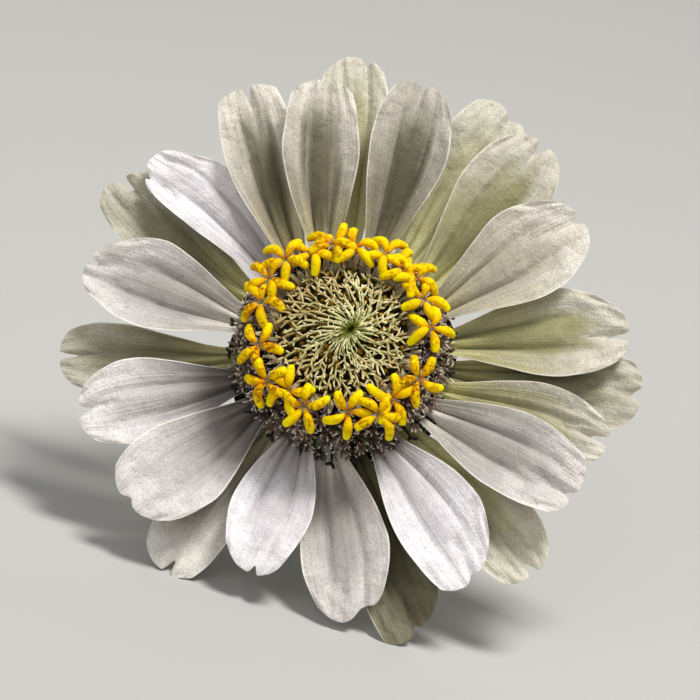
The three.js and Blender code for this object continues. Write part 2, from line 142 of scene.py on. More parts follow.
def raised(height: float) -> Vector:
    """Gives the point on the axis at a height."""
    return Vector((0.0, 0.0, height))


def polar(radius: float, azimuth: float, height: float) -> Vector:
    """Gives the point at a radius, an azimuth in radians and a height."""
    return Vector((radius * math.cos(azimuth), radius * math.sin(azimuth), height))


def turn(angle: float, axis: str) -> Matrix:
    """Gives a rotation by an angle in radians about a named axis."""
    return Matrix.Rotation(angle, 4, axis)


def standing(azimuth: float, radius: float, height: float, tilt: float) -> Matrix:
    """Gives the frame of a growth at an azimuth, radius and height that leans outward, in radians."""
    return turn(azimuth, "Z") @ Matrix.Translation((radius, 0.0, height)) @ turn(tilt, "Y")


def bend(start: Vector, middle: Vector, end: Vector) -> Line:
    """Gives the line that leaves start towards middle and arrives at end from it."""
    return lambda t: start * (1 - t) ** 2 + middle * (2 * t * (1 - t)) + end * t**2


def arched(start: Vector, end: Vector, rise: float = 0.0, share: float = 0.5) -> Line:
    """Gives the bend from start to end by way of a point raised above a share of the way between them."""
    return bend(start, start.lerp(end, share) + raised(rise), end)


def taper(root: float, tip: float) -> Girth:
    """Gives a girth that goes evenly from root to tip."""
    return lambda t: between(root, tip, t)


def laid_down() -> Matrix:
    """Gives the matrix from the flower's frame in millimetres to the shared frame in metres."""
    lean = turn(math.radians(90 - LEAN_DEG), "X")
    roll = turn(math.radians(ROLL_DEG), "Z")
    return Matrix.Scale(MM, 4) @ Matrix.Translation(HEAD_AT) @ lean @ roll


def linked(name: str, data: bpy.types.ID) -> bpy.types.Object:
    """Adds an object to the scene."""
    made = bpy.data.objects.new(name, data)
    bpy.context.scene.collection.objects.link(made)
    return made


@dataclass(frozen=True)
class Form:
    """How a strand is made: the faces round it and along it, and its form.

    Its thickness is a share of its width, and its ends close bluntly, near 0, or like a spindle's, at 1.
    """

    sides: int = 6
    steps: int = 6
    flat: float = 1.0
    blunt: float = 0.5


class Shaper:
    """A mesh that grows in the flower's frame, with marks painted on its vertices."""

    # Vertices closer than these, in millimetres, become one.
    SHEET_WELD = 1e-5
    BODY_WELD = 1e-4
    # How far to both sides of a point a strand's direction is taken, as a share of its length.
    GLANCE = 0.02

    def __init__(self, seed: int = 0) -> None:
        """Starts an empty mesh, with the seed that its small differences are drawn from."""
        self.mesh = self.blank()
        self.frame = Matrix.Identity(4)
        self.chance = random.Random(seed)

    def ring(self, count: int, jitter: float, offset: float = 0.0) -> Iterator[float]:
        """Gives azimuths all the way round, with the jitter and the offset as shares of their spacing."""
        for k in range(count):
            yield math.tau * (k + offset + self.chance.uniform(-jitter, jitter)) / count

    @staticmethod
    def blank() -> bmesh.types.BMesh:
        """Gives an empty mesh that can carry the marks."""
        mesh = bmesh.new()
        for mark in Mark:
            mesh.verts.layers.float.new(mark.value)
        return mesh

    @staticmethod
    def paint(mesh: bmesh.types.BMesh, vert: bmesh.types.BMVert, marks: tuple[float, ...]) -> None:
        """Paints a vertex's marks, in the order of Mark."""
        for mark, value in zip(Mark, marks):
            vert[mesh.verts.layers.float[mark.value]] = value

    def take(self, unit: bmesh.types.BMesh) -> None:
        """Takes a finished unit into the whole, which stays quick however large it grows."""
        carrier = bpy.data.meshes.new("unit")
        unit.to_mesh(carrier)
        unit.free()
        self.mesh.from_mesh(carrier)
        bpy.data.meshes.remove(carrier)

    def sheet(
        self,
        around: int,
        steps: int,
        place: Callable[[float, float, float], Vector],
        tone: float = 0.5,
    ) -> None:
        """Wraps a grid round a thin sheet, so that it closes along its rim.

        Args:
            around: Faces round the section, half of them on each side.
            steps: Faces from the root to the end.
            place: Gives a point from its place along the sheet, across it, and on which face it lies.
            tone: The tone painted on the whole sheet.
        """
        unit = self.blank()
        grid = bmesh.ops.create_grid(unit, x_segments=around, y_segments=steps, size=0.5)["verts"]
        for vert in grid:
            angle = math.tau * (vert.co.x + 0.5)
            along = math.sin(0.5 * math.pi * min(max(vert.co.y + 0.5, 0.0), 1.0))
            across = -math.cos(angle)
            face = math.sin(angle)
            vert.co = self.frame @ place(along, across, face)
            self.paint(unit, vert, (along, across, tone, face))
        bmesh.ops.remove_doubles(unit, verts=unit.verts, dist=self.SHEET_WELD)
        self.take(unit)

    def strand(
        self,
        line: Line,
        girth: Girth,
        form: Form = Form(),
        up: Vector = raised(1.0),
        tone: float | None = None,
        along: tuple[float, float] = (0.0, 1.0),
    ) -> None:
        """Draws a ball out along a line into a closed strand.

        Args:
            line: Gives the point at a share of the way along the strand.
            girth: Gives the strand's half width at that share.
            form: How finely it is made, and how it is shaped.
            up: The direction that the strand's flat side faces.
            tone: The tone painted on the whole strand, drawn at random if it is left out.
            along: The marks painted from its start to its end.
        """
        if tone is None:
            tone = self.chance.random()
        unit = self.blank()
        segments = {"u_segments": form.sides, "v_segments": form.steps}
        ball = bmesh.ops.create_uvsphere(unit, **segments, radius=1.0)["verts"]
        rows: dict[float, tuple[Vector, Vector, Vector]] = {}
        for vert in ball:
            share = 0.5 + 0.5 * vert.co.z
            key = round(share, 4)
            if key not in rows:
                tangent = line(min(share + self.GLANCE, 1.0)) - line(max(share - self.GLANCE, 0.0))
                side = tangent.cross(up)
                if side.length < 1e-6:
                    side = tangent.orthogonal()
                side.normalize()
                width = girth(share) * max(1 - vert.co.z**2, 0.0) ** (0.5 * form.blunt)
                rows[key] = (line(share), side * width, side.cross(tangent).normalized() * width * form.flat)
            middle, side, rise = rows[key]
            angle = math.atan2(vert.co.y, vert.co.x)
            vert.co = self.frame @ (middle + side * math.cos(angle) + rise * math.sin(angle))
            self.paint(unit, vert, (between(*along, share), math.cos(angle), tone, math.sin(angle)))
        self.take(unit)

    def turned(self, profile: list[tuple[float, float]], steps: int, tone: float = 0.5) -> None:
        """Spins a profile of radius and height, which begins and ends on the axis, into a closed body.

        Args:
            profile: Pairs of radius and height.
            steps: Faces round the body.
            tone: The tone painted on it.
        """
        unit = self.blank()
        corners = [unit.verts.new((radius, 0.0, height)) for radius, height in profile]
        edges = [unit.edges.new(pair) for pair in zip(corners, corners[1:])]
        bmesh.ops.spin(
            unit,
            geom=corners + edges,
            cent=(0.0, 0.0, 0.0),
            axis=(0.0, 0.0, 1.0),
            angle=math.tau,
            steps=steps,
            use_merge=True,
        )
        bmesh.ops.remove_doubles(unit, verts=unit.verts, dist=self.BODY_WELD)
        for vert in unit.verts:
            self.paint(unit, vert, (0.0, 0.0, tone, 1.0))
        self.take(unit)

    def piece(self, name: str, finish: "Finish", *nodes: str) -> None:
        """Lays the grown mesh down as a finished piece.

        Args:
            name: The piece's name.
            finish: What its surface is made of.
            *nodes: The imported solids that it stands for.
        """
        bmesh.ops.recalc_face_normals(self.mesh, faces=self.mesh.faces)
        bmesh.ops.transform(self.mesh, matrix=laid_down(), verts=self.mesh.verts)
        for vert in self.mesh.verts:
            vert.co.z = max(vert.co.z, 0.0)
        for face in self.mesh.faces:
            face.smooth = True
        mesh = bpy.data.meshes.new(name)
        self.mesh.to_mesh(mesh)
        self.mesh.free()
        mesh.set_sharp_from_angle(angle=math.radians(SHARP_DEG))
        mesh.materials.append(finish.material())
        made = linked(name, mesh)
        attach(made, BODY)
        if nodes:
            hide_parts(*nodes)
        LOG.info("%s: %d faces", name, len(mesh.polygons))


class Signal:
    """An output of a node, with the sums and steps that can be made on it."""

    def __init__(self, bench: "Bench", socket: bpy.types.NodeSocket) -> None:
        """Takes the output and the bench that it is on."""
        self.bench = bench
        self.socket = socket

    def beside(self, name: str) -> "Signal":
        """Gives another output of the same node."""
        return Signal(self.bench, self.socket.node.outputs[name])

    def __add__(self, other: "Feed") -> "Signal":
        """Adds a number."""
        return self.bench.math("ADD", self, other)

    def __sub__(self, other: "Feed") -> "Signal":
        """Takes a number away."""
        return self.bench.math("SUBTRACT", self, other)

    def __rsub__(self, other: "Feed") -> "Signal":
        """Takes it away from a number."""
        return self.bench.math("SUBTRACT", other, self)

    def __mul__(self, other: "Feed") -> "Signal":
        """Multiplies it by a number."""
        return self.bench.math("MULTIPLY", self, other)

    def __truediv__(self, other: "Feed") -> "Signal":
        """Divides it by a number."""
        return self.bench.math("DIVIDE", self, other)

    def __abs__(self) -> "Signal":
        """Gives it without its sign."""
        return self.bench.math("ABSOLUTE", self)

    def step(self, start: float, stop: float, low: float = 0.0, high: float = 1.0) -> "Signal":
        """Gives a smooth step from low at start to high at stop."""
        feeds = {"Value": self, "From Min": start, "From Max": stop, "To Min": low, "To Max": high}
        return self.bench.add("ShaderNodeMapRange", feeds, "Result", interpolation_type="SMOOTHSTEP")


# What a node's input takes, a colour with the share it is laid on by, and what a node's setting takes.
Feed = float | Colour | Signal
Layer = tuple[Signal, Colour]
Setting = str | bpy.types.NodeTree


class Bench:
    """Adds nodes to one shader tree and joins them."""

    # The places of a mix node's sockets for colours.
    MIX_SHARE = 0
    MIX_LOW = 6
    MIX_HIGH = 7
    MIXED = 2

    def __init__(self, tree: bpy.types.NodeTree) -> None:
        """Takes the tree to work on."""
        self.tree = tree

    def feed(self, node: bpy.types.Node, feeds: dict[str | int, Feed]) -> None:
        """Joins a node's inputs, by name or place, to signals, or sets their values."""
        for key, value in feeds.items():
            socket = node.inputs[key]
            if isinstance(value, Signal):
                self.tree.links.new(value.socket, socket)
            elif socket.type == "RGBA":
                socket.default_value = (*linear(value), 1.0)
            else:
                socket.default_value = value

    def add(
        self,
        kind: str,
        feeds: dict[str | int, Feed],
        gives: str | int = 0,
        **settings: Setting,
    ) -> Signal:
        """Adds a node.

        Args:
            kind: The node's type.
            feeds: What goes into its inputs, by name or place.
            gives: The output that is wanted, by name or place.
            **settings: Its own settings.

        Returns:
            The output.
        """
        node = self.tree.nodes.new(kind)
        for name, value in settings.items():
            setattr(node, name, value)
        self.feed(node, feeds)
        return Signal(self, node.outputs[gives])

    def math(self, operation: str, *feeds: Feed) -> Signal:
        """Gives the result of a sum on numbers."""
        return self.add("ShaderNodeMath", dict(enumerate(feeds)), operation=operation)

    def layered(self, base: Colour, *layers: Layer) -> Signal:
        """Lays colours over a base in turn, each by its own share."""
        colour = base
        for share, over in layers:
            feeds = {self.MIX_SHARE: share, self.MIX_LOW: colour, self.MIX_HIGH: over}
            colour = self.add("ShaderNodeMix", feeds, self.MIXED, data_type="RGBA")
        return colour

    def mark(self, mark: Mark) -> Signal:
        """Gives a mark painted on the piece's vertices."""
        return self.add("ShaderNodeAttribute", {}, "Fac", attribute_name=mark.value)

    def marks(self) -> list[Signal]:
        """Gives all the marks, in the order of Mark."""
        return [self.mark(mark) for mark in Mark]

    def here(self) -> Signal:
        """Gives the place on the piece, in metres."""
        return self.add("ShaderNodeTexCoord", {}, "Object")

    def effect(self, effect: "Effect", **feeds: Feed) -> Signal:
        """Adds a shared effect and gives the first of its outputs."""
        return self.add("ShaderNodeGroup", feeds, node_tree=effect.tree())

    def relief(self, height: Signal, depth: float, strength: float) -> Signal:
        """Gives the normal of a surface raised by a height, with its depth in millimetres."""
        return self.add("ShaderNodeBump", {"Height": height, "Distance": depth * MM, "Strength": strength})


@dataclass(frozen=True)
class Effect:
    """An effect that several finishes share: a group of nodes that is built once."""

    name: str
    takes: tuple[str, ...]
    gives: tuple[str, ...]
    wire: Callable[..., tuple[Signal, ...]]

    def tree(self) -> bpy.types.NodeTree:
        """Gives the group, built once."""
        if self.name in bpy.data.node_groups:
            return bpy.data.node_groups[self.name]
        tree = bpy.data.node_groups.new(self.name, "ShaderNodeTree")
        for title in self.takes:
            kind = "NodeSocketVector" if title == "Place" else "NodeSocketFloat"
            tree.interface.new_socket(name=title, in_out="INPUT", socket_type=kind)
        for title in self.gives:
            tree.interface.new_socket(name=title, in_out="OUTPUT", socket_type="NodeSocketFloat")
        bench = Bench(tree)
        inlet = tree.nodes.new("NodeGroupInput")
        inputs = [Signal(bench, inlet.outputs[title]) for title in self.takes]
        bench.feed(tree.nodes.new("NodeGroupOutput"), dict(zip(self.gives, self.wire(bench, *inputs))))
        return tree


def wire_veins(
    bench: Bench,
    along: Signal,
    across: Signal,
    tone: Signal,
    count: Signal,
) -> tuple[Signal, Signal]:
    """Gives soft streaks, and thin lines among them, that run along a blade and spread with it."""
    place = bench.add("ShaderNodeCombineXYZ", {"X": across * count, "Y": along * 1.3, "Z": tone * 37.0})
    waves = bench.add("ShaderNodeTexNoise", {"Vector": place, "Scale": 1.0, "Detail": 1.0})
    return waves.step(0.36, 0.64), abs(waves - 0.5).step(0.024, 0.0)


def wire_velvet(bench: Bench, place: Signal, scale: Signal) -> tuple[Signal, Signal]:
    """Gives the fine raised cells and the soft blotches of a living surface."""
    cells = bench.add("ShaderNodeTexVoronoi", {"Vector": place, "Scale": scale}, "Distance")
    grain = bench.add("ShaderNodeTexNoise", {"Vector": place, "Scale": scale, "Detail": 2.0})
    blotch = bench.add("ShaderNodeTexNoise", {"Vector": place, "Scale": scale * 0.13, "Detail": 3.0})
    return (1.0 - cells) * 0.5 + grain * 0.5, blotch.step(0.35, 0.65)


def wire_specks(bench: Bench, place: Signal, scale: Signal, size: Signal) -> tuple[Signal]:
    """Gives small scattered specks."""
    cells = bench.add("ShaderNodeTexVoronoi", {"Vector": place, "Scale": scale}, "Distance")
    lot = bench.add("ShaderNodeSeparateColor", {"Color": cells.beside("Color")})
    return ((1.0 - cells / size).step(0.0, 0.5) * lot.step(0.45, 0.6),)


VEINS = Effect("veins", ("Along", "Across", "Tone", "Count"), ("Streak", "Line"), wire_veins)
VELVET = Effect("velvet", ("Place", "Scale"), ("Height", "Blotch"), wire_velvet)
SPECKS = Effect("specks", ("Place", "Scale", "Size"), ("Speck",), wire_specks)


@dataclass(frozen=True)
class Finish:
    """What a piece's surface is made of; only the floor has no slot."""

    name: str
    slot: Slot | None

    def material(self) -> bpy.types.Material:
        """Gives the finish's material, built once."""
        if self.name in bpy.data.materials:
            return bpy.data.materials[self.name]
        material = bpy.data.materials.new(self.name)
        material.use_nodes = True
        bench = Bench(material.node_tree)
        bench.feed(material.node_tree.nodes["Principled BSDF"], self.coat(bench))
        return material

    def coat(self, bench: Bench) -> dict[str, Feed]:
        """Gives what goes into the shader's inputs."""
        raise NotImplementedError


@dataclass(frozen=True)
class PetalFinish(Finish):
    """A ray floret's strap: velvety, veined, greener at its claw, with painted light and shade at the claw,
    painted shade in its hollow and folds, and painted highlights at its rim and end.
    """

    blade: Colour
    flush: Colour
    # The claw colour is partly the claw's own tint and partly painted light and shade.
    claw_tint_light_and_shade: Colour
    # The hollow colour is painted shade down the middle of the strap.
    hollow_shade: Colour
    # The vein colour is laid on veins, mottling and grain, and as painted shade along the folds.
    vein_and_fold_shade: Colour
    # On the straps the rim colour is a painted highlight, laid along the rim and towards the end.
    rim: Colour
    back: Colour
    flush_share: float
    hollow_shade_share: float = 0.5
    claw_to: float = 0.5
    end_highlight_share: float = 0.7

    FINE_VEINS = 17.0
    BROAD_VEINS = 3.2
    GRAIN_SCALE = 5200.0
    MOTTLE_SCALE = 3400.0
    PATCH_SCALE = 1500.0
    SPECK_SCALE = 420.0
    SPECK_SIZE = 0.1
    SPECK_COLOUR = (150, 122, 84)
    # Each of these is a step: where it starts and stops, and its values there if they aren't 0 and 1.
    FLUSH_ALONG = (1.0, 0.1, -0.2, 0.75)
    HOLLOW_SHADE_ASIDE = (0.56, 0.28)
    HOLLOW_SHADE_AT_END = (0.96, 0.74)
    HOLLOW_SHADE_AT_CLAW = (0.08, 0.32, 0.3, 1.0)
    END_HIGHLIGHT_FROM = 0.8
    END_HIGHLIGHT_TO = 1.25
    CLAW_FROM = 0.02
    LINES_ALONG = (0.9, 0.15, 0.1, 0.55)
    FOLD_SHADE_ASIDE = (0.05, 0.0)
    FOLD_SHADE_ALONG = (0.85, 0.1, 0.0, 0.42)
    PORES = (0.65, 0.3, 0.0, 0.32)
    RIM_HIGHLIGHT_ASIDE = (0.95, 0.99, 0.0, 0.85)
    BACK_FACE = (-0.05, -0.25, 0.0, 0.75)
    CRINKLE_ALONG = (0.3, 0.95, 1.0, 2.6)
    ROUGHNESS = (0.0, 1.0, 0.52, 0.66)

    def coat(self, bench: Bench) -> dict[str, Feed]:
        """Gives the strap's colour, gloss and relief."""
        along, across, tone, face = bench.marks()
        here = bench.here()
        aside = abs(across)
        marks = {"Along": along, "Across": across, "Tone": tone}
        streak = bench.effect(VEINS, **marks, Count=self.FINE_VEINS)
        broad = bench.effect(VEINS, **marks, Count=self.BROAD_VEINS)
        grain = bench.effect(VELVET, Place=here, Scale=self.GRAIN_SCALE)
        mottle = bench.effect(VELVET, Place=here, Scale=self.MOTTLE_SCALE).beside("Blotch")
        patches = bench.effect(VELVET, Place=here, Scale=self.PATCH_SCALE).beside("Blotch")
        speck = bench.effect(SPECKS, Place=here, Scale=self.SPECK_SCALE, Size=self.SPECK_SIZE)
        flush = (along.step(*self.FLUSH_ALONG) + broad * 0.45).step(0.0, 1.0)
        # Painted shade down the middle of the strap, where its trough faces away from the light.
        hollow_shade = (aside + (broad - 0.5) * 0.25).step(*self.HOLLOW_SHADE_ASIDE) * along.step(*self.HOLLOW_SHADE_AT_END)
        hollow_shade = hollow_shade * along.step(*self.HOLLOW_SHADE_AT_CLAW)
        # A painted highlight that grows towards the strap's end and sides.
        end_highlight = along + aside * 0.3 + patches * 0.2
        # The claw's own tint, with painted shade where the disc shades it and painted light where it is
        # lightened against shadow.
        claw_tint_light_and_shade = (along + (broad - 0.5) * 0.16).step(self.claw_to, self.CLAW_FROM)
        line = streak.beside("Line") * along.step(*self.LINES_ALONG)
        # Painted shade along the two folds.
        fold_shade = abs(aside - FOLD_AT).step(*self.FOLD_SHADE_ASIDE) * along.step(*self.FOLD_SHADE_ALONG)
        colour = bench.layered(
            self.blade,
            (flush * self.flush_share, self.flush),
            (hollow_shade * self.hollow_shade_share, self.hollow_shade),
            (end_highlight.step(self.END_HIGHLIGHT_FROM, self.END_HIGHLIGHT_TO, 0.0, self.end_highlight_share), self.rim),
            (patches * 0.14 + mottle * 0.16, self.vein_and_fold_shade),
            (claw_tint_light_and_shade, self.claw_tint_light_and_shade),
            (line, self.vein_and_fold_shade),
            (fold_shade, self.vein_and_fold_shade),
            (grain.step(*self.PORES), self.vein_and_fold_shade),
            # A painted highlight along the rim.
            (aside.step(*self.RIM_HIGHLIGHT_ASIDE), self.rim),
            (speck * 0.5, self.SPECK_COLOUR),
            (face.step(*self.BACK_FACE), self.back),
        )
        height = grain - line + streak * 0.6 + mottle * along.step(*self.CRINKLE_ALONG)
        return {
            "Base Color": colour,
            "Roughness": patches.step(*self.ROUGHNESS),
            "Normal": bench.relief(height, 0.1, 0.6),
            "Specular IOR Level": 0.32,
            "Sheen Weight": 0.12,
            "Subsurface Weight": 0.12,
            "Subsurface Radius": (0.9, 0.8, 0.6),
            "Subsurface Scale": 0.5 * MM,
        }


@dataclass(frozen=True)
class GrowthFinish(Finish):
    """A small growth that changes colour from its root to its tip, and with its tone."""

    root: Colour
    middle: Colour
    tip: Colour
    aged: Colour
    aging: float = 0.5
    middle_at: float = 0.5
    stain: Colour = (0, 0, 0)
    staining: float = 0.0
    # A share of painted shade along the sides, in the root colour.
    edge_shading: float = 0.0
    roughness: float = 0.6
    gloss: float = 0.35
    grain: float = 6000.0
    depth: float = 0.08

    PATCH_SHARE = 0.4
    EDGE_SHADE_FROM = 0.6
    # Each of these is a step: where it starts and stops, and its values there if they aren't 0 and 1.
    SPOTS = (0.62, 1.1)
    SPOT_GRAIN = (0.8, 0.3, -0.15, 0.15)
    SPOTS_AT_ROOT = (0.0, 0.25)
    SPOTS_AT_TIP = (1.0, 0.7)
    SPOTS_BY_TONE = (0.0, 0.85, 0.2, 1.0)
    PORES = (0.5, 0.2, 0.0, 0.35)

    def coat(self, bench: Bench) -> dict[str, Feed]:
        """Gives the growth's colour, gloss and relief."""
        along, across, tone, _ = bench.marks()
        here = bench.here()
        coarse = self.PATCH_SHARE * self.grain
        velvet = bench.effect(VELVET, Place=here, Scale=self.grain)
        patches = bench.effect(VELVET, Place=here, Scale=coarse).beside("Blotch")
        place = along + (velvet.beside("Blotch") - 0.5) * 0.2
        layers = [
            (place.step(0.0, self.middle_at), self.middle),
            (place.step(self.middle_at, 1.0), self.tip),
            (tone * self.aging, self.aged),
        ]
        if self.staining:
            small = bench.add("ShaderNodeTexNoise", {"Vector": here, "Scale": coarse, "Detail": 2.0})
            spots = small * 1.3 + patches * 0.25 + velvet.step(*self.SPOT_GRAIN)
            within = place.step(*self.SPOTS_AT_ROOT) * place.step(*self.SPOTS_AT_TIP)
            spots = spots.step(*self.SPOTS) * within * tone.step(*self.SPOTS_BY_TONE)
            layers.append((spots * self.staining, self.stain))
            # Painted shade along the sides, in the root colour.
            layers.append((abs(across).step(self.EDGE_SHADE_FROM, 1.0, 0.0, self.edge_shading), self.root))
        layers.append((velvet.step(*self.PORES), self.root))
        return {
            "Base Color": bench.layered(self.root, *layers),
            "Roughness": patches.step(0.0, 1.0, self.roughness, self.roughness + 0.15),
            "Normal": bench.relief(velvet, self.depth, 0.7),
            "Specular IOR Level": self.gloss,
        }


@dataclass(frozen=True)
class LeafyFinish(Finish):
    """A green bract or stalk, with lines along it and a darker rim where it has one."""

    green: Colour
    pale: Colour
    line: Colour
    rim: Colour
    rim_from: float
    lines: float
    roughness: float = 0.5

    GRAIN_SCALE = 2200.0
    SPECK_SCALE = 700.0
    SPECK_SIZE = 0.2
    RIM_BLUR = 0.07

    def coat(self, bench: Bench) -> dict[str, Feed]:
        """Gives the green's colour, gloss and relief."""
        along, across, tone, _ = bench.marks()
        here = bench.here()
        streak = bench.effect(VEINS, Along=along, Across=across, Tone=tone, Count=self.lines)
        velvet = bench.effect(VELVET, Place=here, Scale=self.GRAIN_SCALE)
        speck = bench.effect(SPECKS, Place=here, Scale=self.SPECK_SCALE, Size=self.SPECK_SIZE)
        edge = bench.math("MAXIMUM", abs(across), along) + (streak - 0.5) * 0.06
        colour = bench.layered(
            self.green,
            (velvet.beside("Blotch") * 0.55, self.pale),
            (streak.step(0.5, 0.0) * 0.6, self.line),
            (speck * 0.4, self.line),
            (edge.step(self.rim_from, self.rim_from + self.RIM_BLUR), self.rim),
        )
        return {
            "Base Color": colour,
            "Roughness": streak.step(0.0, 1.0, self.roughness, self.roughness + 0.2),
            "Normal": bench.relief(streak + velvet, 0.12, 0.8),
            "Specular IOR Level": 0.4,
        }


@dataclass(frozen=True)
class FloorFinish(Finish):
    """A plain pale floor."""

    paper: Colour

    def coat(self, bench: Bench) -> dict[str, Feed]:
        """Gives the floor's colour and gloss."""
        return {"Base Color": self.paper, "Roughness": 0.9, "Specular IOR Level": 0.2}


# Each strap finish's claw colour is partly the claw's own tint and partly painted light and shade: darker
# where the disc shades the claws, lighter to make up for the shadow they lie in.
COOL = PetalFinish(
    "petal_cool_white", Slot.RAY_WHITE, blade=(255, 251, 255), flush=(226, 220, 218), claw_tint_light_and_shade=(140, 134, 124),
    hollow_shade=(198, 192, 194), vein_and_fold_shade=(150, 142, 144), rim=(254, 248, 244), back=(212, 212, 196),
    flush_share=0.6, hollow_shade_share=0.4, claw_to=0.4,
)
# A copy of the cool white with a darker blade and near-black claws: painted shade for the straps in the
# disc's shadow.
SHADY = PetalFinish(
    "petal_shady_white", Slot.RAY_WHITE, blade=(242, 236, 236), flush=(192, 184, 178), claw_tint_light_and_shade=(66, 58, 46),
    hollow_shade=(174, 167, 163), vein_and_fold_shade=(128, 120, 116), rim=(252, 244, 236), back=(206, 206, 190),
    flush_share=0.7, hollow_shade_share=0.45, claw_to=0.76,
)
# A darker copy of the cool white: painted shade on the blade, with painted light at the claw.
SHADED_WHITE = PetalFinish(
    "petal_shaded_white", Slot.RAY_WHITE, blade=(206, 201, 200), flush=(188, 180, 166), claw_tint_light_and_shade=(252, 244, 228),
    hollow_shade=(154, 147, 138), vein_and_fold_shade=(124, 116, 110), rim=(248, 240, 230), back=(206, 206, 190),
    flush_share=0.75, hollow_shade_share=0.6, claw_to=0.36,
)
CREAM = PetalFinish(
    "petal_cream_white", Slot.RAY_WHITE, blade=(236, 227, 212), flush=(216, 208, 172), claw_tint_light_and_shade=(240, 230, 178),
    hollow_shade=(184, 176, 150), vein_and_fold_shade=(124, 116, 110), rim=(252, 244, 232), back=(206, 206, 190),
    flush_share=0.75, hollow_shade_share=0.6, claw_to=0.36,
)
# Its hollow, laid at nearly full share, is painted shade down the middle of the upper straps.
WARM = PetalFinish(
    "petal_warm_white", Slot.RAY_WHITE, blade=(222, 214, 202), flush=(158, 146, 112), claw_tint_light_and_shade=(236, 224, 168),
    hollow_shade=(100, 95, 66), vein_and_fold_shade=(104, 96, 76), rim=(250, 242, 228), back=(200, 198, 172), flush_share=0.7,
    hollow_shade_share=0.9, claw_to=0.42, end_highlight_share=0.5,
)
# A darker copy of the warm white: painted shade.
SHADED_WARM = PetalFinish(
    "petal_shaded_warm_white", Slot.RAY_WHITE, blade=(192, 185, 174), flush=(148, 138, 110), claw_tint_light_and_shade=(190, 178, 126),
    hollow_shade=(88, 85, 58), vein_and_fold_shade=(104, 96, 76), rim=(250, 242, 228), back=(200, 198, 172), flush_share=0.7,
    hollow_shade_share=0.92, claw_to=0.42, end_highlight_share=0.35,
)
GREEN = PetalFinish(
    "petal_green_white", Slot.RAY_WHITE, blade=(204, 198, 186), flush=(190, 183, 126), claw_tint_light_and_shade=(255, 250, 168),
    hollow_shade=(150, 147, 92), vein_and_fold_shade=(126, 118, 88), rim=(250, 242, 226), back=(196, 196, 150), flush_share=0.85,
    hollow_shade_share=0.88, claw_to=0.36, end_highlight_share=0.55,
)
OLIVE = PetalFinish(
    "petal_olive", Slot.RAY_OLIVE, blade=(178, 173, 154), flush=(158, 152, 106), claw_tint_light_and_shade=(220, 210, 142),
    hollow_shade=(132, 128, 90), vein_and_fold_shade=(104, 98, 72), rim=(242, 236, 218), back=(172, 174, 132), flush_share=0.9,
    hollow_shade_share=0.6, end_highlight_share=0.4,
)
ASH = PetalFinish(
    "petal_ash_olive", Slot.RAY_OLIVE, blade=(226, 222, 218), flush=(208, 202, 192), claw_tint_light_and_shade=(196, 186, 150),
    hollow_shade=(176, 170, 158), vein_and_fold_shade=(140, 132, 118), rim=(250, 244, 232), back=(184, 184, 156),
    flush_share=0.8, claw_to=0.6,
)
# A dark copy of the olive: painted shade on a strap that lies under others.
SHADED_OLIVE = PetalFinish(
    "petal_shaded_olive", Slot.RAY_OLIVE, blade=(112, 108, 82), flush=(100, 96, 62), claw_tint_light_and_shade=(92, 88, 50),
    hollow_shade=(84, 80, 54), vein_and_fold_shade=(72, 66, 42), rim=(222, 214, 190), back=(150, 150, 108), flush_share=0.9,
    end_highlight_share=0.1,
)
# Its flush and claw are lighter than its blade: painted light on claws that lie in shadow.
LEAF = PetalFinish(
    "petal_leaf_white", Slot.RAY_OLIVE, blade=(200, 195, 182), flush=(232, 226, 176), claw_tint_light_and_shade=(250, 244, 180),
    hollow_shade=(200, 194, 134), vein_and_fold_shade=(130, 124, 90), rim=(250, 244, 226), back=(180, 184, 134), flush_share=0.9,
    hollow_shade_share=0.55, claw_to=0.55, end_highlight_share=0.6,
)
# Its lemon tip is partly the lobes' own colour and partly a painted highlight on their ends; its edge shading
# is painted shade along their sides.
LOBE_YELLOW = GrowthFinish(
    "velvet_yellow", Slot.FLORET_YELLOW, root=(226, 140, 0), middle=(255, 214, 0), tip=(255, 242, 0),
    aged=(255, 196, 0), aging=0.35, middle_at=0.28, stain=(140, 68, 0), staining=0.95, edge_shading=0.5,
    roughness=0.5, gloss=0.06, grain=5200.0, depth=0.12,
)
TUBE_GREEN = GrowthFinish(
    "corolla_tube", Slot.YOUNG_CHAFF, root=(96, 96, 62), middle=(138, 144, 104), tip=(190, 188, 140),
    aged=(124, 138, 146), aging=0.6,
)
# Its near-black root is painted shade deep among the scales.
YOUNG_STRAW = GrowthFinish(
    "young_straw", Slot.YOUNG_CHAFF, root=(12, 14, 0), middle=(126, 134, 26), tip=(255, 248, 192),
    aged=(182, 140, 78), aging=0.66, roughness=0.5,
)
SHADED_CORE = GrowthFinish(
    "shaded_core", Slot.YOUNG_CHAFF, root=(30, 34, 4), middle=(34, 36, 8), tip=(38, 42, 10),
    aged=(26, 18, 8), aging=1.0, roughness=0.8,
)
BUD_AMBER = GrowthFinish(
    "bud_amber", Slot.YOUNG_CHAFF, root=(44, 32, 2), middle=(124, 88, 6), tip=(196, 146, 20),
    aged=(66, 44, 6), aging=0.9,
)
# Its colours are lighter, as painted light, to make up for the shadow under the stars.
STRAP_TAN = LeafyFinish(
    "upright_scale", Slot.YOUNG_CHAFF, green=(164, 152, 104), pale=(204, 188, 148), line=(88, 76, 44),
    rim=(220, 206, 168), rim_from=0.8, lines=3.0,
)
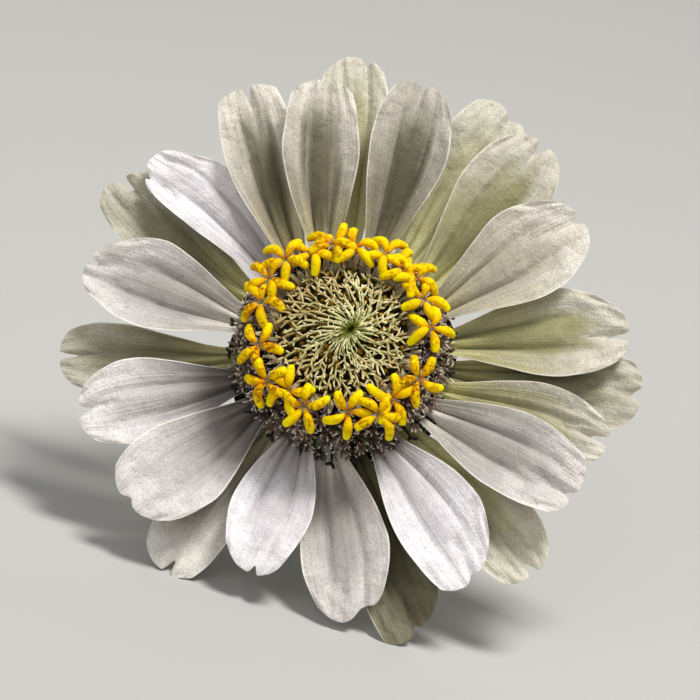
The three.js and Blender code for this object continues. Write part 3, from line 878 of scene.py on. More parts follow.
# Its near-black root is painted shade in the drum's gaps and the scales' hollows; its pale tip is partly the
# teeth's own tan and partly a painted highlight.
SPENT_MAUVE = GrowthFinish(
    "spent_mauve", Slot.SPENT_CHAFF, root=(6, 4, 3), middle=(74, 56, 46), tip=(255, 240, 214),
    aged=(176, 142, 122), aging=0.35, roughness=0.7,
)
FRINGE_LILAC = GrowthFinish(
    "lilac_fringe", Slot.SPENT_CHAFF, root=(40, 28, 30), middle=(176, 166, 178), tip=(236, 232, 244),
    aged=(206, 190, 178), middle_at=0.4, roughness=0.5,
)
CRUMB_RUST = GrowthFinish(
    "rust_crumb", Slot.SPENT_CHAFF, root=(84, 34, 10), middle=(156, 78, 24), tip=(222, 140, 36),
    aged=(104, 44, 18), aging=0.6,
)
STYLE_BLACK = GrowthFinish(
    "style_black", Slot.SPENT_CHAFF, root=(52, 50, 24), middle=(20, 15, 12), tip=(16, 12, 12),
    aged=(12, 9, 9), roughness=0.5,
)
BRACT_GREEN = LeafyFinish(
    "bract_green", Slot.BRACT, green=(104, 126, 62), pale=(146, 162, 98), line=(78, 98, 46),
    rim=(52, 38, 32), rim_from=0.84, lines=9.0,
)
STALK_GREEN = LeafyFinish(
    "stalk_green", Slot.STALK, green=(110, 130, 62), pale=(150, 164, 96), line=(86, 96, 52),
    rim=(206, 212, 160), rim_from=1.02, lines=3.0,
)
STALK_HAIR = GrowthFinish(
    "stalk_hair", Slot.STALK, root=(150, 164, 110), middle=(206, 212, 176), tip=(236, 238, 216),
    aged=(206, 206, 170), aging=0.4,
)
PAPER = FloorFinish("pale_floor", None, paper=(184, 182, 178))


@dataclass(frozen=True)
class Ray:
    """One ray floret's strap: azimuths in degrees, lengths in millimetres, the rest as shares."""

    root_azimuth: float
    tip_azimuth: float
    reach: float
    width: float
    widest: float
    fullness: float
    end_share: float
    roundness: float
    slant: float
    notch_at: float
    notch_depth: float
    notch_breadth: float
    layer: float
    lift: float
    twist: float
    bow: float
    margin: float
    finish: PetalFinish

    ROOT_RADIUS = 9.2
    CLAW_SHARE = 0.2
    CLAW_HEIGHT = -0.2
    LOWEST_HEIGHT = -2.2
    LAYER_STEP = 1.3
    CLAW_LAYER_SHARE = 0.45
    DISH_RISE = 3.2
    DISH_REACH = 26.0

    def end(self, across: float) -> float:
        """Gives how far the end stands beyond or short of its reach, across the strap."""
        notch = self.notch_depth * hump(across, self.notch_at, self.notch_breadth)
        return self.slant * across - self.roundness * abs(across) ** 2.6 - notch

    def half_width(self, along: float) -> float:
        """Gives half the strap's width along it."""
        opening = math.sin(0.5 * math.pi * min(along / self.widest, 1.0)) ** self.fullness
        beyond = max((along - self.widest) / (1 - self.widest), 0.0)
        narrowing = 1 - (1 - self.end_share) * beyond**2.4
        return 0.5 * self.width * between(self.CLAW_SHARE, 1.0, opening) * narrowing

    def height(self, along: float, across: float) -> float:
        """Gives the height of the strap's middle surface: its layer, lift, twist and trough."""
        layer = self.LOWEST_HEIGHT + self.LAYER_STEP * self.layer - self.CLAW_HEIGHT
        layered = between(self.CLAW_LAYER_SHARE, 1.0, eased(along, 0.0, 0.35)) * layer
        lifted = self.lift * math.sin(0.5 * math.pi * along) ** 1.2
        twisted = self.twist * across * math.sin(0.8 * math.pi * along)
        outward = max((abs(across) - 0.3) / 0.7, 0.0) ** 1.3
        trough = self.margin * outward * math.sin(math.pi * (0.86 * along + 0.06)) ** 0.8
        return self.CLAW_HEIGHT + layered + lifted + twisted + trough

    def middle(self, along: float, across: float, spread: float = 0.0) -> Vector:
        """Gives a point of the strap's middle surface.

        Args:
            along: Its place from the root, 0, to the end, 1.
            across: Its place across the strap, from -1 to 1.
            spread: How far the outline stands out there, in millimetres.

        Returns:
            The point, in the flower's frame.
        """
        root = polar(self.ROOT_RADIUS, math.radians(self.root_azimuth), 0.0)
        tip = polar(self.reach, math.radians(self.tip_azimuth), 0.0)
        forward = (tip - root).normalized()
        sideways = Vector((-forward.y, forward.x, 0.0))
        run = along * (tip - root).length
        far = run + self.end(across) * eased(along, 0.5, 1.0)
        aside = across * (self.half_width(along) + spread) + self.bow * math.sin(math.pi * along)
        dished = self.DISH_RISE * math.sin(0.5 * math.pi * min(run / self.DISH_REACH, 1.0)) ** 1.2
        return root + forward * far + sideways * aside + raised(self.height(along, across) + dished)


RAYS = (
    Ray(88, 87.7, 37, 8.6, 0.78, 1.6, 0.84, 2.1, -0.2, -0.4, 0.7, 0.16, 0, 2.6, 0, -0.2, 0.3, LEAF),
    Ray(103, 94.4, 32.4, 9.2, 0.66, 1.6, 0.8, 1.9, 0.1, -0.15, 0.9, 0.1, 2.7, 3.8, 0, 0.3, 0.9, WARM),
    Ray(118, 110.3, 34.3, 8.9, 0.72, 1.6, 0.82, 1.3, -0.15, -0.05, 1.8, 0.1, 2.2, 2.2, 0.3, 0.6, 0.8, WARM),
    Ray(131.5, 134.6, 32.8, 8.8, 0.68, 1.3, 0.7, 2.2, -0.2, 0.6, 0.9, 0.12, 1, 2.8, 0.3, -1.8, 0.7, COOL),
    Ray(145.5, 142.2, 34.7, 9.6, 0.74, 1.6, 0.8, 2.2, 1.3, -0.15, 2.4, 0.1, 0, 2.4, 0, 1.2, 0.4, OLIVE),
    Ray(160.5, 162.2, 32, 11, 0.68, 1.9, 0.66, 2.2, 0.6, -0.15, 1.2, 0.1, 1.8, 3, 0, 0, 0.9, SHADED_WHITE),
    Ray(177, 181.8, 33.7, 8.6, 0.8, 2, 0.8, 1.4, 0, -0.1, 2.4, 0.08, 0, 2.4, 0, 0.5, 0.4, OLIVE),
    Ray(193.5, 195.3, 32.3, 10.4, 0.7, 2.1, 0.72, 1.8, 0.5, -0.1, 1.8, 0.12, 1, 3, -0.3, 0.3, 0.7, SHADY),
    Ray(210, 218.8, 31.9, 11.6, 0.74, 1.7, 0.8, 2.2, -0.2, -0.15, 0.8, 0.16, 2.1, 3.2, 0, 0.5, 0.9, SHADY),
    Ray(225, 231.8, 34.2, 9, 0.76, 1.7, 0.8, 1.6, 0.2, 0.15, 2, 0.1, 0, 2.4, 0, -0.4, 0.4, ASH),
    Ray(240.5, 248.1, 29.9, 9.6, 0.62, 1.4, 0.72, 2.1, 0.7, 0.2, 1.2, 0.1, 2, 3, 0, 0.3, 0.9, COOL),
    Ray(257, 272.2, 33.4, 10.5, 0.66, 1.5, 0.74, 2.6, -0.3, 0.35, 1.3, 0.3, 1, 2.8, 0.3, 0.2, 0.7, SHADED_WHITE),
    Ray(274, 284, 35.6, 9.4, 0.78, 1.8, 0.82, 1.8, -1.8, 0.05, 1, 0.12, 0, 2.4, 0, 0, 0.4, SHADED_OLIVE),
    Ray(290, 298.3, 32.4, 10.8, 0.66, 1.5, 0.76, 2.1, -1.3, 0, 0.6, 0.14, 1.8, 3, 0, 0.4, 0.9, COOL),
    Ray(307.5, 309.4, 35.5, 9.4, 0.76, 1.8, 0.8, 1.8, 0, 0, 1.8, 0.12, 0, 2.4, 0, 0.8, 0.4, LEAF),
    Ray(323.5, 326.3, 33.1, 10.2, 0.66, 1.5, 0.78, 1.5, 0, -0.2, 1.2, 0.12, 2.3, 3, 0, 0, 0.9, SHADED_WHITE),
    Ray(338, 338.3, 33.5, 9.7, 0.66, 1.8, 0.68, 2, 0.2, 0.2, 2.2, 0.12, 1, 2.6, 0.3, -0.2, 0.7, GREEN),
    Ray(353.5, 350.2, 36, 10.2, 0.78, 2, 0.82, 1.8, 0.2, 0.1, 1.2, 0.16, 0, 2.4, 0, 0, 0.4, OLIVE),
    Ray(8, 2.3, 34.1, 11.1, 0.7, 1.9, 0.7, 2.2, 0, -0.05, 2.4, 0.08, 1, 2.8, -0.3, 0.4, 0.7, GREEN),
    Ray(24, 27.3, 32.4, 11.6, 0.7, 2, 0.7, 2.2, -0.1, 0.15, 0.9, 0.12, 2, 3, 0, 0, 0.9, CREAM),
    Ray(39.5, 45.8, 35.2, 10.8, 0.74, 2, 0.74, 2.2, 0, 0.05, 1.6, 0.13, 1, 2.6, 0.3, -0.2, 0.7, GREEN),
    Ray(58, 55.7, 36.2, 10.4, 0.78, 1.8, 0.8, 1.8, 0.8, -0.1, 0.8, 0.24, 0, 2.4, 0, 0.2, 0.4, LEAF),
    Ray(73.5, 72.4, 34, 9.7, 0.72, 1.8, 0.76, 2, 0.6, 0.12, 0.7, 0.2, 1.8, 3.2, 0, -0.4, 0.9, SHADED_WARM),
)


@dataclass
class RayWhorl:
    """The ray florets round the disc, each a thin strap with soft folds and a wavy rim."""

    thickness: float = 0.42
    around: int = 104
    steps: int = 60
    fold_breadth: float = 0.085
    fold_depth: float = 0.48
    ridge_breadth: float = 0.2
    ridge_rise: float = 0.3
    wobble: float = 0.16
    ruffle: float = 0.42
    veins: float = 30.0
    vein_relief: float = 0.02
    crease: float = 0.7
    crease_breadth: float = 0.14
    crinkle: float = 0.35

    def surface(self, ray: Ray, number: int) -> Callable[[float, float, float], Vector]:
        """Gives the place of each point on a strap's two faces.

        Args:
            ray: The strap's measures.
            number: Its number, which its waves and veins are drawn from.

        Returns:
            A function of the place along, across, and the face.
        """

        def place(along: float, across: float, face: float) -> Vector:
            side = math.copysign(1.0, across)
            aside = abs(across)
            spread = self.wobble * waver(4.2 * along, 2.0 * side, 3.1 * number)
            point = ray.middle(along, across, spread * eased(along, 0.3, 0.6))
            open_share = eased(along, 0.02, 0.16) * (1 - 0.85 * eased(along, 0.55, 0.97))
            wander = 0.06 * waver(2.5 * along, across, 7.7 * number)
            folds = self.fold_depth * hump(aside + wander, FOLD_AT, self.fold_breadth)
            ridge = self.ridge_rise * hump(across + wander, 0.0, self.ridge_breadth)
            point.z += (ridge - folds) * open_share
            point.z += 0.45 * (ray.margin - 0.3) * aside**2.5 * open_share
            wave = waver(1.4 * across, 2.6 * along, 5.3 * number)
            rim_wave = waver(9.0 * side, 6.5 * along, 2.9 * number)
            point.z += self.ruffle * (0.7 * wave * along + rim_wave * aside**4 * eased(along, 0.15, 0.5))
            veins = self.vein_relief * math.sin(self.veins * across + 3 * wander) * (1 - aside**6)
            point.z += veins * (1 - eased(along, 0.3, 0.8))
            crease = self.crease * hump(across, ray.notch_at, self.crease_breadth)
            point.z -= crease * eased(along, 0.62, 0.94)
            crinkle = waver(5.0 * across, 8.0 * along, 1.7 * number)
            point.z += self.crinkle * crinkle * eased(along, 0.6, 0.9)
            closing = max(1 - along**14, 0.0) ** 0.5 * min(along / 0.02, 1.0) ** 0.5
            half = 0.5 * self.thickness * between(1.15, 0.8, along) * abs(face) ** 0.7 * closing
            point.z += math.copysign(half, face)
            return point

        return place

    def build(self) -> None:
        """Builds each strap as a piece of its own."""
        for number, ray in enumerate(RAYS, start=1):
            shaper = Shaper()
            shaper.sheet(self.around, self.steps, self.surface(ray, number), tone=number / len(RAYS))
            shaper.piece(f"strap_{number:02d}", ray.finish, f"ray_floret_{number:02d}")


@dataclass
class Disc:
    """The sizes that the disc's pieces share."""

    drum_low: float = 2.2
    drum_high: float = 8.2
    drum_low_radius: float = 11.4
    drum_high_radius: float = 10.6
    plate_high: float = 9.3
    dome_height: float = 9.5
    dome_rise: float = 1.5
    dome_radius: float = 7.6

    def dome(self, radius: float) -> float:
        """Gives the height of the dome under the chaff, at a distance from the axis."""
        return self.dome_height + self.dome_rise * (1 - (radius / self.dome_radius) ** 2)

    def drum(self, share: float) -> float:
        """Gives the drum's radius at a share of its height."""
        return between(self.drum_low_radius, self.drum_high_radius, share)


DISC = Disc()


@dataclass
class FringedScale:
    """A chaff scale seen at its end: a short body painted dark, as the shade in its hollow, with a crown of
    crooked teeth.
    """

    body_length: float
    body_half_width: float
    teeth: int
    tooth_length: float
    tooth_half_width: float
    openings: tuple[float, float]
    sizes: tuple[float, float] = (0.85, 1.2)

    BODY = Form(6, 4, 0.6, 0.3)
    TOOTH = Form(4, 4, 0.7, 0.25)

    def grow(self, shaper: Shaper) -> None:
        """Grows one scale, with a size and tone of its own, along +Z of the shaper's frame."""
        draw = shaper.chance.uniform
        size = draw(*self.sizes)
        tone = shaper.chance.random()
        length = self.body_length * size
        width = self.body_half_width * size
        end = raised(length)
        body = bend(raised(-0.4), Vector((draw(-0.2, 0.2), draw(-0.2, 0.2), 0.5 * length)), end)
        shaper.strand(body, taper(0.7 * width, width), self.BODY, tone=tone, along=(0.0, 0.25))
        phase = draw(0.0, math.tau)
        for azimuth in shaper.ring(self.teeth, 0.3):
            angle = phase + azimuth
            opening = math.radians(draw(*self.openings))
            reach = self.tooth_length * size * draw(0.6, 1.2)
            root = end + polar(0.6 * width, angle, -0.3 * width)
            aim = polar(math.sin(opening), angle + draw(-0.3, 0.3), math.cos(opening))
            curl = root + aim * (0.55 * reach) + raised(draw(0.0, 0.25) * reach)
            thin = taper(self.tooth_half_width * size, 0.3 * self.tooth_half_width)
            tooth = bend(root, curl, root + aim * reach)
            shaper.strand(tooth, thin, self.TOOTH, tone=tone, along=(0.1, 1.0))


@dataclass
class SpentChaff:
    """The drum of spent scales below the open florets, each ending in a crown of teeth."""

    rows: int = 7
    per_row: int = 25
    flare: float = 0.8
    # From the lowest row to the highest one, in degrees.
    leans: tuple[float, float] = (62.0, 24.0)

    def build(self) -> None:
        """Builds the drum, painted near black as the shade between the scales, and its scales as one piece.
        """
        shaper = Shaper(41)
        draw = shaper.chance.uniform
        scale = FringedScale(1.1, 0.42, 7, 1.25, 0.24, (30.0, 80.0))
        profile = [
            (0.0, 0.6),
            (8.8, 0.6),
            (DISC.drum_low_radius - 1.0, DISC.drum_low - 0.5),
            (DISC.drum_low_radius - 0.4, DISC.drum_low + 0.8),
            (DISC.drum_high_radius - 0.3, DISC.drum_high),
            (0.0, DISC.drum_high),
        ]
        shaper.turned(profile, 64, tone=0.0)
        for row in range(self.rows):
            share = row / (self.rows - 1)
            radius = DISC.drum(share) - 0.55 + self.flare * (1 - share) ** 2
            height = between(DISC.drum_low - 0.8, DISC.drum_high + 0.2, share)
            lean = math.radians(between(*self.leans, share))
            for azimuth in shaper.ring(self.per_row, 0.25, 0.5 * (row % 2)):
                level = height + draw(-0.25, 0.25)
                shaper.frame = standing(azimuth, radius, level, lean + math.radians(draw(-12, 12)))
                scale.grow(shaper)
        shaper.piece("spent_scales", SPENT_MAUVE, "outer_chaff")


@dataclass(frozen=True)
class Floret:
    """One open disc floret: its azimuth, its distance from the axis, and its star's turn in degrees."""

    azimuth: float
    radius: float
    turn: float

    HEIGHT = 11.3
    TILT_DEG = 22.0

    def frame(self) -> Matrix:
        """Gives the frame of the floret's star."""
        leaning = standing(math.radians(self.azimuth), self.radius, self.HEIGHT, math.radians(self.TILT_DEG))
        return leaning @ turn(math.radians(self.turn), "Z")


FLORETS = (
    Floret(2, 10.4, 0),
    Floret(22, 10.2, 50),
    Floret(36, 10.7, 5),
    Floret(47, 10.4, 30),
    Floret(61, 10.7, 60),
    Floret(82, 10.3, 10),
    Floret(96, 10.6, 40),
    Floret(110, 10.2, 25),
    Floret(128, 11, 0),
    Floret(143, 10.7, 55),
    Floret(160, 10.1, 45),
    Floret(190, 9.9, 17),
    Floret(215, 10.7, 31),
    Floret(229, 9.6, 59),
    Floret(244, 10.1, 45),
    Floret(274, 9.9, 2),
    Floret(293, 11, 69),
    Floret(305, 10.1, 1),
    Floret(327, 10.7, 8),
)


@dataclass
class OpenFlorets:
    """The ring of open florets: yellow five-lobed stars on grey-green tubes, with stigmas and fringes."""

    lobes: int = 5
    lobe_reach: float = 3.05
    lobe_half_width: float = 0.6
    tube_half_widths: tuple[float, float] = (0.42, 0.6)
    fringes: int = 56
    # Where the fringes and hairs stand, between these distances from the axis.
    fringe_radii: tuple[float, float] = (8.0, 9.9)
    hair_radii: tuple[float, float] = (8.2, 9.9)
    crumb_heaps: int = 44
    hairs: int = 180

    LOBE = Form(14, 14, 0.85, 0.28)
    TUBE = Form(10, 8, 1.0, 0.2)
    RIB = Form(6, 6, 0.8, 0.4)
    CRUMB = Form(5, 4, 0.8, 0.8)
    HAIR = Form(3, 4)

    def lobe_girth(self, share: float) -> float:
        """Gives a lobe's half width: narrow at its foot, full beyond its middle."""
        return self.lobe_half_width * between(0.5, 1.0, eased(share, 0.0, 0.5)) * (1 - 0.05 * share)

    def tube_girth(self, share: float) -> float:
        """Gives a tube's half width, which flares under its star."""
        return between(*self.tube_half_widths, eased(share, 0.4, 1.0))

    def build_lobes(self) -> None:
        """Builds the yellow lobes of all the stars as one piece."""
        shaper = Shaper(7)
        chance = shaper.chance
        draw = chance.uniform
        for floret in FLORETS:
            star = floret.frame()
            # Florets towards azimuth 200° get a deeper tone, as painted shade on that side of the ring.
            shade = 0.5 - 0.5 * math.cos(math.radians(floret.azimuth - 20))
            dusk = chance.random() * between(0.5, 1.0, shade)
            for k in range(self.lobes):
                angle = math.tau * k / self.lobes
                outward = math.cos(angle + math.radians(floret.turn))
                shaper.frame = star @ turn(angle + draw(-0.2, 0.2), "Z")
                reach = (self.lobe_reach + 0.3 * outward) * draw(0.9, 1.06)
                droop = draw(-1.5, 0.2)
                arch = 0.5 + 0.4 * chance.random() - 0.4 * droop
                aside = draw(-0.85, 0.85)
                middle = Vector((0.55 * reach, aside, arch))
                line = bend(Vector((0.35, 0.0, -0.1)), middle, Vector((reach, -0.55 * aside, droop)))
                tone = min(max(0.75 * dusk + 0.55 * chance.random() - 0.1, 0.0), 1.0)
                shaper.strand(line, self.lobe_girth, self.LOBE, tone=tone)
        shaper.piece("star_lobes", LOBE_YELLOW, "disc_florets")

    def build_tubes(self) -> None:
        """Builds the tubes that the stars stand on, with the ribs between their lobes, as one piece."""
        shaper = Shaper(11)
        draw = shaper.chance.uniform
        for floret in FLORETS:
            star = floret.frame()
            foot = polar(floret.radius - 1.0, math.radians(floret.azimuth), DISC.plate_high - 0.3)
            shaper.frame = Matrix.Identity(4)
            shaper.strand(arched(foot, star @ raised(-0.05), 0.3), self.tube_girth, self.TUBE)
            shaper.frame = star
            for k in range(self.lobes):
                angle = math.tau * (k + 0.5) / self.lobes + draw(-0.2, 0.2)
                rib = arched(polar(0.2, angle, 0.0), polar(draw(0.9, 1.35), angle, draw(-0.15, 0.1)), 0.3)
                shaper.strand(rib, taper(0.17, 0.09), self.RIB, along=(0.4, 1.0))
        shaper.piece("corolla_tubes", TUBE_GREEN)

    def heap(self, shaper: Shaper, spot: Vector, breadth: float, crumbs: int) -> None:
        """Heaps crumbs round a spot.

        Args:
            shaper: The mesh to grow them in.
            spot: The heap's middle.
            breadth: How far it spreads, in millimetres.
            crumbs: How many there are.
        """
        draw = shaper.chance.uniform
        for _ in range(crumbs):
            size = draw(0.09, 0.2)
            away = Vector([shaper.chance.gauss(0.0, 0.5 * breadth) for _ in range(3)])
            away.z = abs(away.z) * 0.6
            foot = spot + away
            tip = foot + Vector((size * draw(-1, 1), size * draw(-1, 1), size))
            shaper.strand(bend(foot, foot, tip), taper(size, 0.6 * size), self.CRUMB)

    def build_stigmas(self) -> None:
        """Builds the curled stigmas and the heaps of withered anthers as one piece."""
        shaper = Shaper(23)
        chance = shaper.chance
        draw = chance.uniform
        for floret in FLORETS:
            shaper.frame = floret.frame()
            for _ in range(chance.choice((1, 2, 2))):
                angle = draw(0.0, math.tau)
                line = bend(raised(-0.1), raised(0.8), polar(draw(0.5, 0.9), angle, draw(0.25, 0.6)))
                shaper.strand(line, taper(0.1, 0.07), tone=0.5 * chance.random(), along=(0.8, 1.0))
            self.heap(shaper, raised(0.2), 0.5, chance.randint(0, 3))
        shaper.frame = Matrix.Identity(4)
        for k in range(self.crumb_heaps):
            radius = chance.choice((draw(7.9, 9.0), draw(9.0, 11.0)))
            azimuth = math.tau * (k + draw(-0.4, 0.4)) / self.crumb_heaps
            spot = polar(radius, azimuth, between(10.3, 9.8, eased(radius, 8.0, 11.0)))
            self.heap(shaper, spot, draw(0.35, 0.7), chance.randint(5, 11))
        shaper.piece("stigmas_and_crumbs", CRUMB_RUST)

    def build_fringes(self) -> None:
        """Builds the pale fringed scales and hairs among the florets as one piece."""
        shaper = Shaper(31)
        draw = shaper.chance.uniform
        scale = FringedScale(1.1, 0.26, 7, 0.72, 0.085, (10.0, 75.0))
        for k in range(self.fringes):
            inner, outer = self.fringe_radii
            radius = math.sqrt(between(inner**2, outer**2, (k + 0.5) / self.fringes))
            height = between(8.9, 8.5, eased(radius, 9.0, 11.2))
            lean = math.radians(between(2, 34, eased(radius, 8.4, 11.2)) + draw(-14, 14))
            shaper.frame = standing(k * GOLDEN_ANGLE, radius, height, lean)
            scale.grow(shaper)
        shaper.frame = Matrix.Identity(4)
        for _ in range(self.hairs):
            azimuth = draw(0.0, math.tau)
            inner, outer = self.hair_radii
            radius = math.sqrt(draw(inner**2, outer**2))
            foot = polar(radius, azimuth, between(9.8, 9.0, eased(radius, 9.0, 11.0)))
            lean = draw(0.1, 0.9)
            length = draw(0.5, 1.2)
            tip = foot + polar(length * lean, azimuth + draw(-1.2, 1.2), length * (1 - 0.5 * lean))
            line = arched(foot, tip, 0.3 * length, 0.4)
            shaper.strand(line, taper(0.06, 0.03), self.HAIR, along=(0.5, 1.0))
        shaper.piece("pale_fringes", FRINGE_LILAC)

    def build(self) -> None:
        """Builds all the pieces of the open florets."""
        self.build_lobes()
        self.build_tubes()
        self.build_stigmas()
        self.build_fringes()


@dataclass
class YoungChaff:
    """The dome of young chaff: pale ridged scales that swirl out from a slit and fork like antlers."""

    first_radius: float = 1.1
    last_radius: float = 8.1
    # The area that a scale takes at the middle and at the rim, in square millimetres.
    scale_areas: tuple[float, float] = (0.25, 2.05)
    # The distances from the axis between which the scales age.
    aging_radii: tuple[float, float] = (2.2, 6.5)
    # Each pair goes from the youngest scales to the oldest ones.
    lengths: tuple[float, float] = (3.2, 2.3)
    rises: tuple[float, float] = (1.15, 1.0)
    fin_girths: tuple[float, float] = (0.17, 0.2)
    ridge_girths: tuple[float, float] = (0.13, 0.17)
    tine_reaches: tuple[float, float] = (0.55, 1.25)
    tine_girths: tuple[float, float] = (0.08, 0.19)
    # How many tines they have beside the one at the end, and the ages from which they have more and fork.
    young_arms: tuple[int, ...] = (0, 1, 2)
    old_arms: tuple[int, ...] = (2, 3, 4)
    old_from: float = 0.3
    forks_from: float = 0.4
    fork_share: float = 0.4
    # The distance from the axis beyond which buds stand between them.
    buds_from: float = 2.6
    needles: int = 26
    straps: int = 110
    # Where the scales meet: the middle of a short slit, its half length, and its direction in degrees.
    slit_at: tuple[float, float] = (1.0, 0.05)
    slit_half_length: float = 0.75
    slit_direction: float = 48.0
    swirl: float = 0.07

    FIN = Form(6, 6, 1.5, 0.6)
    RIDGE = Form(6, 6, 1.4, 0.6)
    TINE = Form(5, 5, 0.8, 0.25)
    FORK = Form(4, 4, 0.8, 0.3)
    BUD = Form(8, 6, 1.0, 0.7)
    STRAP = Form(10, 8, 0.35, 0.4)

    def settled(self, point: Vector) -> Vector:
        """Moves a point of the dome towards the slit, which stands a little off the axis."""
        radius = math.hypot(point.x, point.y)
        share = 1 - eased(radius, 0.0, 7.0)
        slit = polar(1.0, math.radians(self.slit_direction), 0.0)
        side = math.tanh(1.5 * (point.x * slit.x + point.y * slit.y))
        drawn = slit * (self.slit_half_length * side * (1 - eased(radius, 0.0, 4.5)))
        return point + drawn + Vector((self.slit_at[0] * share, self.slit_at[1] * share, 0.0))

    def spot(self, radius: float, azimuth: float, under: float, above: float) -> Vector:
        """Gives a settled point that stands above the height that the dome has at the radius under."""
        return self.settled(polar(radius, azimuth, DISC.dome(under) + above))

    def places(self) -> list[tuple[float, float]]:
        """Gives the scales' places in a spiral, as azimuth and radius of their ends, closer at the middle."""
        spots = []
        radius = self.first_radius
        while radius < self.last_radius:
            spots.append((len(spots) * GOLDEN_ANGLE, radius))
            area = between(*self.scale_areas, eased(radius, 0.5, 7.0))
            radius = math.sqrt(radius**2 + area / math.pi)
        return spots

    def antler(self, shaper: Shaper, azimuth: float, radius: float) -> None:
        """Grows one scale: a green fin, a pale ridge on it, and tines at its end.

        Args:
            shaper: The mesh to grow it in.
            azimuth: The azimuth of its end, in radians.
            radius: The distance of its end from the axis.
        """
        chance = shaper.chance
        draw = chance.uniform
        age = eased(radius, *self.aging_radii)
        tone = age * draw(0.15, 1.0)
        start = max(radius - between(*self.lengths, age) * draw(0.8, 1.25), 0.35)
        drift = self.swirl * (radius - start) * between(2.2, 0.8, age) + draw(-0.12, 0.12)
        rise = between(*self.rises, age) * draw(0.75, 1.2)
        foot = self.spot(start, azimuth - drift, start, 0.25)
        knee = self.spot(between(start, radius, 0.5), azimuth - 0.35 * drift, start, 1.05 * rise)
        end = self.spot(radius, azimuth, radius, rise)
        down = raised(-0.36)
        # The fin runs from the near-black root colour at its foot, painted shade deep among the scales, to
        # green.
        fin = bend(foot + down, knee + down, end + down)
        girth = taper(0.08, between(*self.fin_girths, age))
        green = between(0.5, 0.3, age) * draw(0.8, 1.15)
        shaper.strand(fin, girth, self.FIN, tone=tone, along=(0.1, green))
        ridge = bend(foot, knee, end)
        girth = taper(0.07, between(*self.ridge_girths, age))
        pale = (draw(0.42, 1.0), between(0.88, 1.0, age))
        shaper.strand(ridge, girth, self.RIDGE, tone=tone, along=pale)
        outward = (end - knee).normalized()
        ahead = Vector((outward.x, outward.y, 0.0)).normalized()
        side = chance.choice((-1, 1))
        arms = chance.choice(self.young_arms if age < self.old_from else self.old_arms)
        for k in range(arms + 1):
            last = k == arms
            share = 1.0 if last else between(0.5, 1.0, (k + draw(0.2, 0.8)) / arms)
            side = -side
            fan = math.radians(draw(8, 32) if last else draw(34, 74))
            aim = turn(side * fan, "Z") @ ahead
            curl = turn(side * math.radians(draw(-70, 50)), "Z") @ aim
            reach = between(*self.tine_reaches, age) * draw(0.6, 1.25) * (1.0 if share > 0.7 else 0.7)
            root = ridge(share)
            elbow = root + aim * (0.5 * reach) + raised(draw(-0.05, 0.15))
            tip = elbow + curl * (0.55 * reach) + raised(draw(-0.25, 0.15))
            thick = between(*self.tine_girths, age) * draw(0.75, 1.2)
            tine = bend(root, elbow, tip)
            pale = (between(0.7, 0.55, age), 1.0)
            shaper.strand(tine, taper(thick, 0.35 * thick), self.TINE, tone=tone, along=pale)
            if age > self.forks_from and chance.random() < self.fork_share:
                stub = tine(draw(0.45, 0.75))
                away = turn(-side * math.radians(draw(30, 70)), "Z") @ aim
                fork = arched(stub, stub + away * (0.35 * reach))
                thin = taper(0.6 * thick, 0.3 * thick)
                shaper.strand(fork, thin, self.FORK, tone=tone, along=(0.9, 1.0))

    def build_core(self) -> None:
        """Builds the dome under the chaff, painted near black as the shade beneath the scales."""
        shaper = Shaper()
        radii = (8.6, 8.0, 7.0, 5.6, 4.0, 2.2, 1.2, 0.5, 0.0)
        profile = [(0.0, DISC.plate_high), (8.9, DISC.plate_high)]
        profile += [(radius, DISC.dome(radius) + 0.1) for radius in radii]
        shaper.turned(profile, 48)
        for vert in shaper.mesh.verts:
            radius = math.hypot(vert.co.x, vert.co.y)
            shaper.paint(shaper.mesh, vert, (1 - eased(radius, 0.5, 4.0), 0.0, eased(radius, 2.5, 6.0), 1.0))
        shaper.piece("chaff_core", SHADED_CORE)

    def build_antlers(self) -> None:
        """Builds the forked scales, and the needles that close over the slit, as one piece."""
        shaper = Shaper(5)
        draw = shaper.chance.uniform
        for azimuth, radius in self.places():
            aside = draw(-0.32, 0.32) / max(radius, 1.5)
            self.antler(shaper, azimuth + aside, max(radius + draw(-0.3, 0.3), 0.8))
        for azimuth in shaper.ring(self.needles, 0.3):
            stop = draw(0.7, 1.5)
            foot = self.spot(0.22, azimuth - 0.4, 0.0, 0.6)
            middle = self.spot(0.5 * stop, azimuth - 0.3, 0.0, 1.2)
            needle = bend(foot, middle, self.spot(stop, azimuth, 0.0, 0.9))
            shaper.strand(needle, taper(0.045, 0.08), self.FIN, tone=0.0, along=(0.3, 0.9))
        shaper.piece("young_scales", YOUNG_STRAW, "inner_chaff")

    def build_buds(self) -> None:
        """Builds the closed florets between the scales as one piece."""
        shaper = Shaper(17)
        draw = shaper.chance.uniform
        for azimuth, radius in self.places():
            if radius < self.buds_from:
                continue
            for aside in (0.55, -0.5):
                beside = azimuth + (aside + draw(-0.15, 0.15)) / radius
                reach = radius + draw(-0.3, 0.3)
                foot = self.spot(reach, beside, reach, -0.1)
                height = draw(0.45, 0.9)
                line = bend(foot, foot + raised(0.5 * height), foot + polar(0.2, beside + math.pi, height))
                girth = draw(0.3, 0.46)
                shaper.strand(line, taper(girth, 0.8 * girth), self.BUD)
        shaper.piece("buds", BUD_AMBER)

